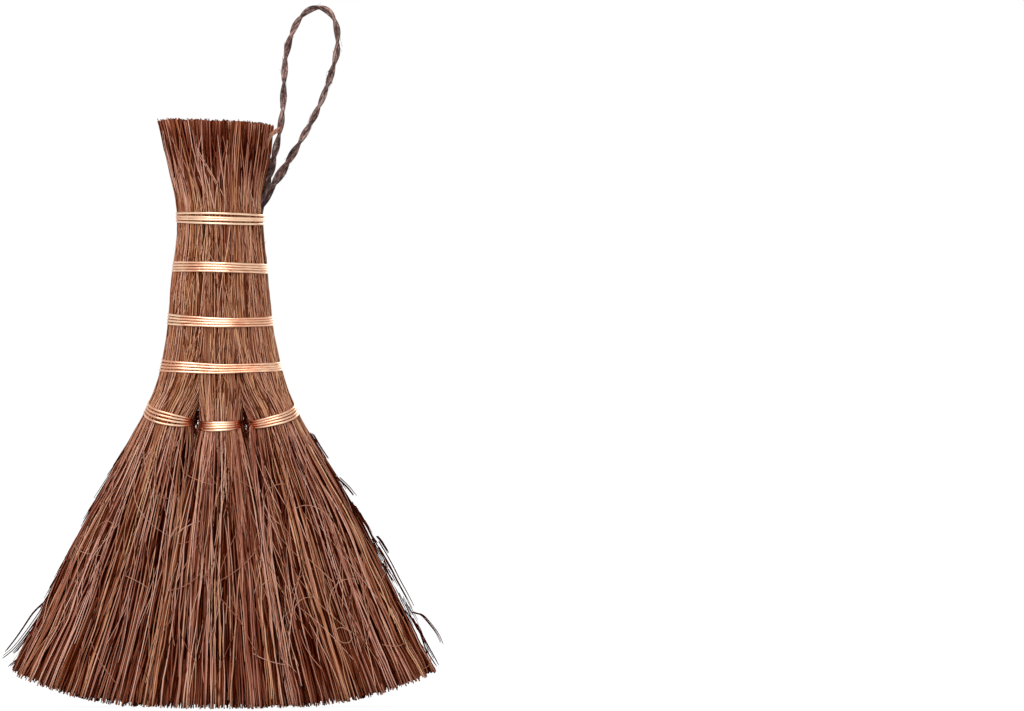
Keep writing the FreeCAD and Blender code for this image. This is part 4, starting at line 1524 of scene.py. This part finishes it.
def speckPaths(dice, kind, name):
    # short dark ends along the side of the skirt
    for _ in range(kind["count"]):
        height = dice.uniform(*kind["tops"]) - dice.uniform(*kind["lengths"]) * hairSteps
        path = bundles[name].at(0.5 + dice.normal(0.0, kind["around"]), height, kind["depth"])
        path[:, 0] += sideSigns[name] * dice.uniform(*kind["outward"]) * hairSteps ** kind["power"]
        yield path


def cornerPaths(dice, kind):
    # a few ends at the top corner bend out over the cord
    for _ in range(kind["count"]):
        root = np.array([dice.uniform(*span) for span in kind["root"]])
        end = np.array([dice.uniform(*span) for span in kind["end"]])
        bent = hairSteps[:, None] + np.array(kind["bend"]) * np.sin(hairSteps * math.pi)[:, None]
        yield root + (end - root) * bent


def threadPaths(dice, kind, name):
    # threads from one neck to the next, near black as painted shade in the slit
    fromShare = 0.5 if sideSigns[name] < 0 else 0.0
    for _ in range(kind["count"]):
        start = bundles["centre"].at(fromShare, dice.uniform(*kind["heights"]), kind["depth"])
        end = bundles[name].at(0.0, dice.uniform(*kind["heights"]), kind["depth"])
        start[1] += dice.uniform(*kind["deep"])
        end[1] += dice.uniform(*kind["deep"])
        path = start + (end - start) * hairSteps[:, None]
        path[:, 2] += dice.normal(0.0, kind["sag"]) * np.sin(hairSteps * math.pi)
        yield path


def fringePaths(dice, kind):
    # broken bits beside the right edge of the skirt
    for _ in range(kind["count"]):
        height = dice.uniform(*kind["tops"]) - dice.uniform(*kind["lengths"]) * hairSteps
        path = bundles["right"].at(0.5, height, kind["depth"])
        outward = dice.uniform(*kind["outward"])
        path[:, 0] += outward + dice.uniform(*kind["opening"]) * (kind["tops"][1] - height)
        path[:, 1] += dice.normal(0.0, kind["deep"])
        yield path


def strayHairs():
    dice = np.random.default_rng(straySet["seed"])
    skeins = {"grip_hairs": Skein(), "stray_hairs": Skein()}
    taper = 1.0 - straySet["taper"] * hairSteps ** 2

    def lay(path, radius, tint):
        height = path[:, 2]
        overTips = (height - tipLine(path[:, 0])).min()
        if height.max() < straySet["highest"] and overTips > straySet["overTips"]:
            piece = "grip_hairs" if height.min() > straySet["gripFrom"] else "stray_hairs"
            skeins[piece].add(path[None], (radius * taper)[None], tint, straySet["sides"])

    def layDashes(region):
        kind = straySet[region]
        for _ in range(kind["count"]):
            bundle, share, height = somewhere(dice, kind["heights"])
            lean = sineSum(height, kind["alike"], share) + dice.normal(0.0, dice.choice(kind["leans"]))
            bend = dice.normal(0.0, straySet["bend"])
            length = dice.uniform(*kind["lengths"])
            path = overSurface(bundle, share, height, math.pi / 2 + lean, bend, length, straySet["lift"])
            middle = kind["dark" if dice.random() < kind["darkShare"] else "light"]
            radius = dice.uniform(*kind["radii"])
            tint = dice.normal(middle, straySet["tintSpread"])
            lay(path, radius, np.clip(tint, *straySet["tintRange"]))

    def layPaths(key, paths, *where):
        kind = straySet[key]
        for path in paths(dice, kind, *where):
            lay(path, dice.uniform(*kind["radii"]), dice.uniform(*kind["tints"]))

    for region in ("skirt", "grip", "crown"):
        layDashes(region)
    layPaths("curls", curlPaths)
    for name in sideSigns:
        layPaths("wisps", wispPaths, name)
        layPaths("specks", speckPaths, name)
    layPaths("corner", cornerPaths)
    for name in sideSigns:
        layPaths("threads", threadPaths, name)
    layDashes("tangle")
    layPaths("fringe", fringePaths)
    for name, skein in skeins.items():
        made = skein.make(name, finishes["fibre"])
        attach(made, "broom")
        print("loose hairs:", name, skein.tubes)


strayHairs()


# a pale floor, soft frontal light and the photograph's viewpoint, in metres
stageSet = {
    "floorHalf": 1.5,
    "floorColour": (0.85, 0.85, 0.85, 1.0),
    "floorGlow": 1.12,
    "floorShown": 0.86,
    "white": (1.0, 1.0, 1.0, 1.0),
    "worldFill": 0.28,
    "worldGloss": 0.8,
    "lampSize": 1.5,
    "lamps": {
        "key": {"place": (-0.25, -1.25, 0.95), "power": 24.0},
        "back": {"place": (0.5, 1.35, 0.75), "power": 12.0},
    },
    "aim": (0.0, 0.0, 0.09),
    "lens": 200.0,
    "sensor": 36.0,
    "clipEnd": 20.0,
    "cameraPlace": (0.0873, -1.7067, 0.10545),
}


def paleFloor():
    look = Finish("paleFloor")
    rays = look.rays()
    shown = rays["Is Camera Ray"] + rays["Is Glossy Ray"] + rays["Is Transmission Ray"]
    pale = look.node("ShaderNodeBsdfDiffuse", None, {"Color": stageSet["floorColour"]})
    white = look.node("ShaderNodeEmission", None, {
        "Color": stageSet["white"], "Strength": stageSet["floorGlow"]})
    return look.done(look.node("ShaderNodeMixShader", None, {
        0: shown * stageSet["floorShown"], 1: pale, 2: white}))


def studioWorld():
    world = bpy.data.worlds.new("studio")
    bpy.context.scene.world = world
    look = Finish("studio", world)
    rays = look.rays()
    fill = stageSet["worldFill"]
    shown = rays["Is Camera Ray"] + rays["Is Transmission Ray"]
    gleam = rays["Is Glossy Ray"] * (stageSet["worldGloss"] - fill)
    sky = look.node("ShaderNodeBackground", None, {
        "Color": stageSet["white"], "Strength": fill + shown * (1.0 - fill) + gleam})
    look.node("ShaderNodeOutputWorld", None, {"Surface": sky})


def setStage():
    half = stageSet["floorHalf"]
    mesh = bpy.data.meshes.new("floor")
    corners = [(-half, -half, 0), (half, -half, 0), (half, half, 0), (-half, half, 0)]
    mesh.from_pydata(corners, [], [(0, 1, 2, 3)])
    mesh.materials.append(paleFloor())
    floor = placed("floor", mesh)
    studioWorld()
    for name, kind in stageSet["lamps"].items():
        lamp = bpy.data.lights.new(name, "AREA")
        lamp.shape = "DISK"
        lamp.size = stageSet["lampSize"]
        lamp.energy = kind["power"]
        light = placed(name, lamp)
        light.location = kind["place"]
        x, y, z = np.array(stageSet["aim"]) - np.array(kind["place"])
        light.rotation_euler = (math.atan2(math.hypot(x, y), -z), 0.0, math.atan2(-x, y))
    eye = bpy.data.cameras.new("photoView")
    eye.lens = stageSet["lens"]
    eye.sensor_width = stageSet["sensor"]
    eye.clip_end = stageSet["clipEnd"]
    camera = placed("photoView", eye)
    camera.location = stageSet["cameraPlace"]
    camera.rotation_euler = (math.pi / 2, 0.0, 0.0)
    bpy.context.scene.camera = camera
    bpy.context.scene.view_settings.view_transform = "Standard"
    print("stage set")


setStage()
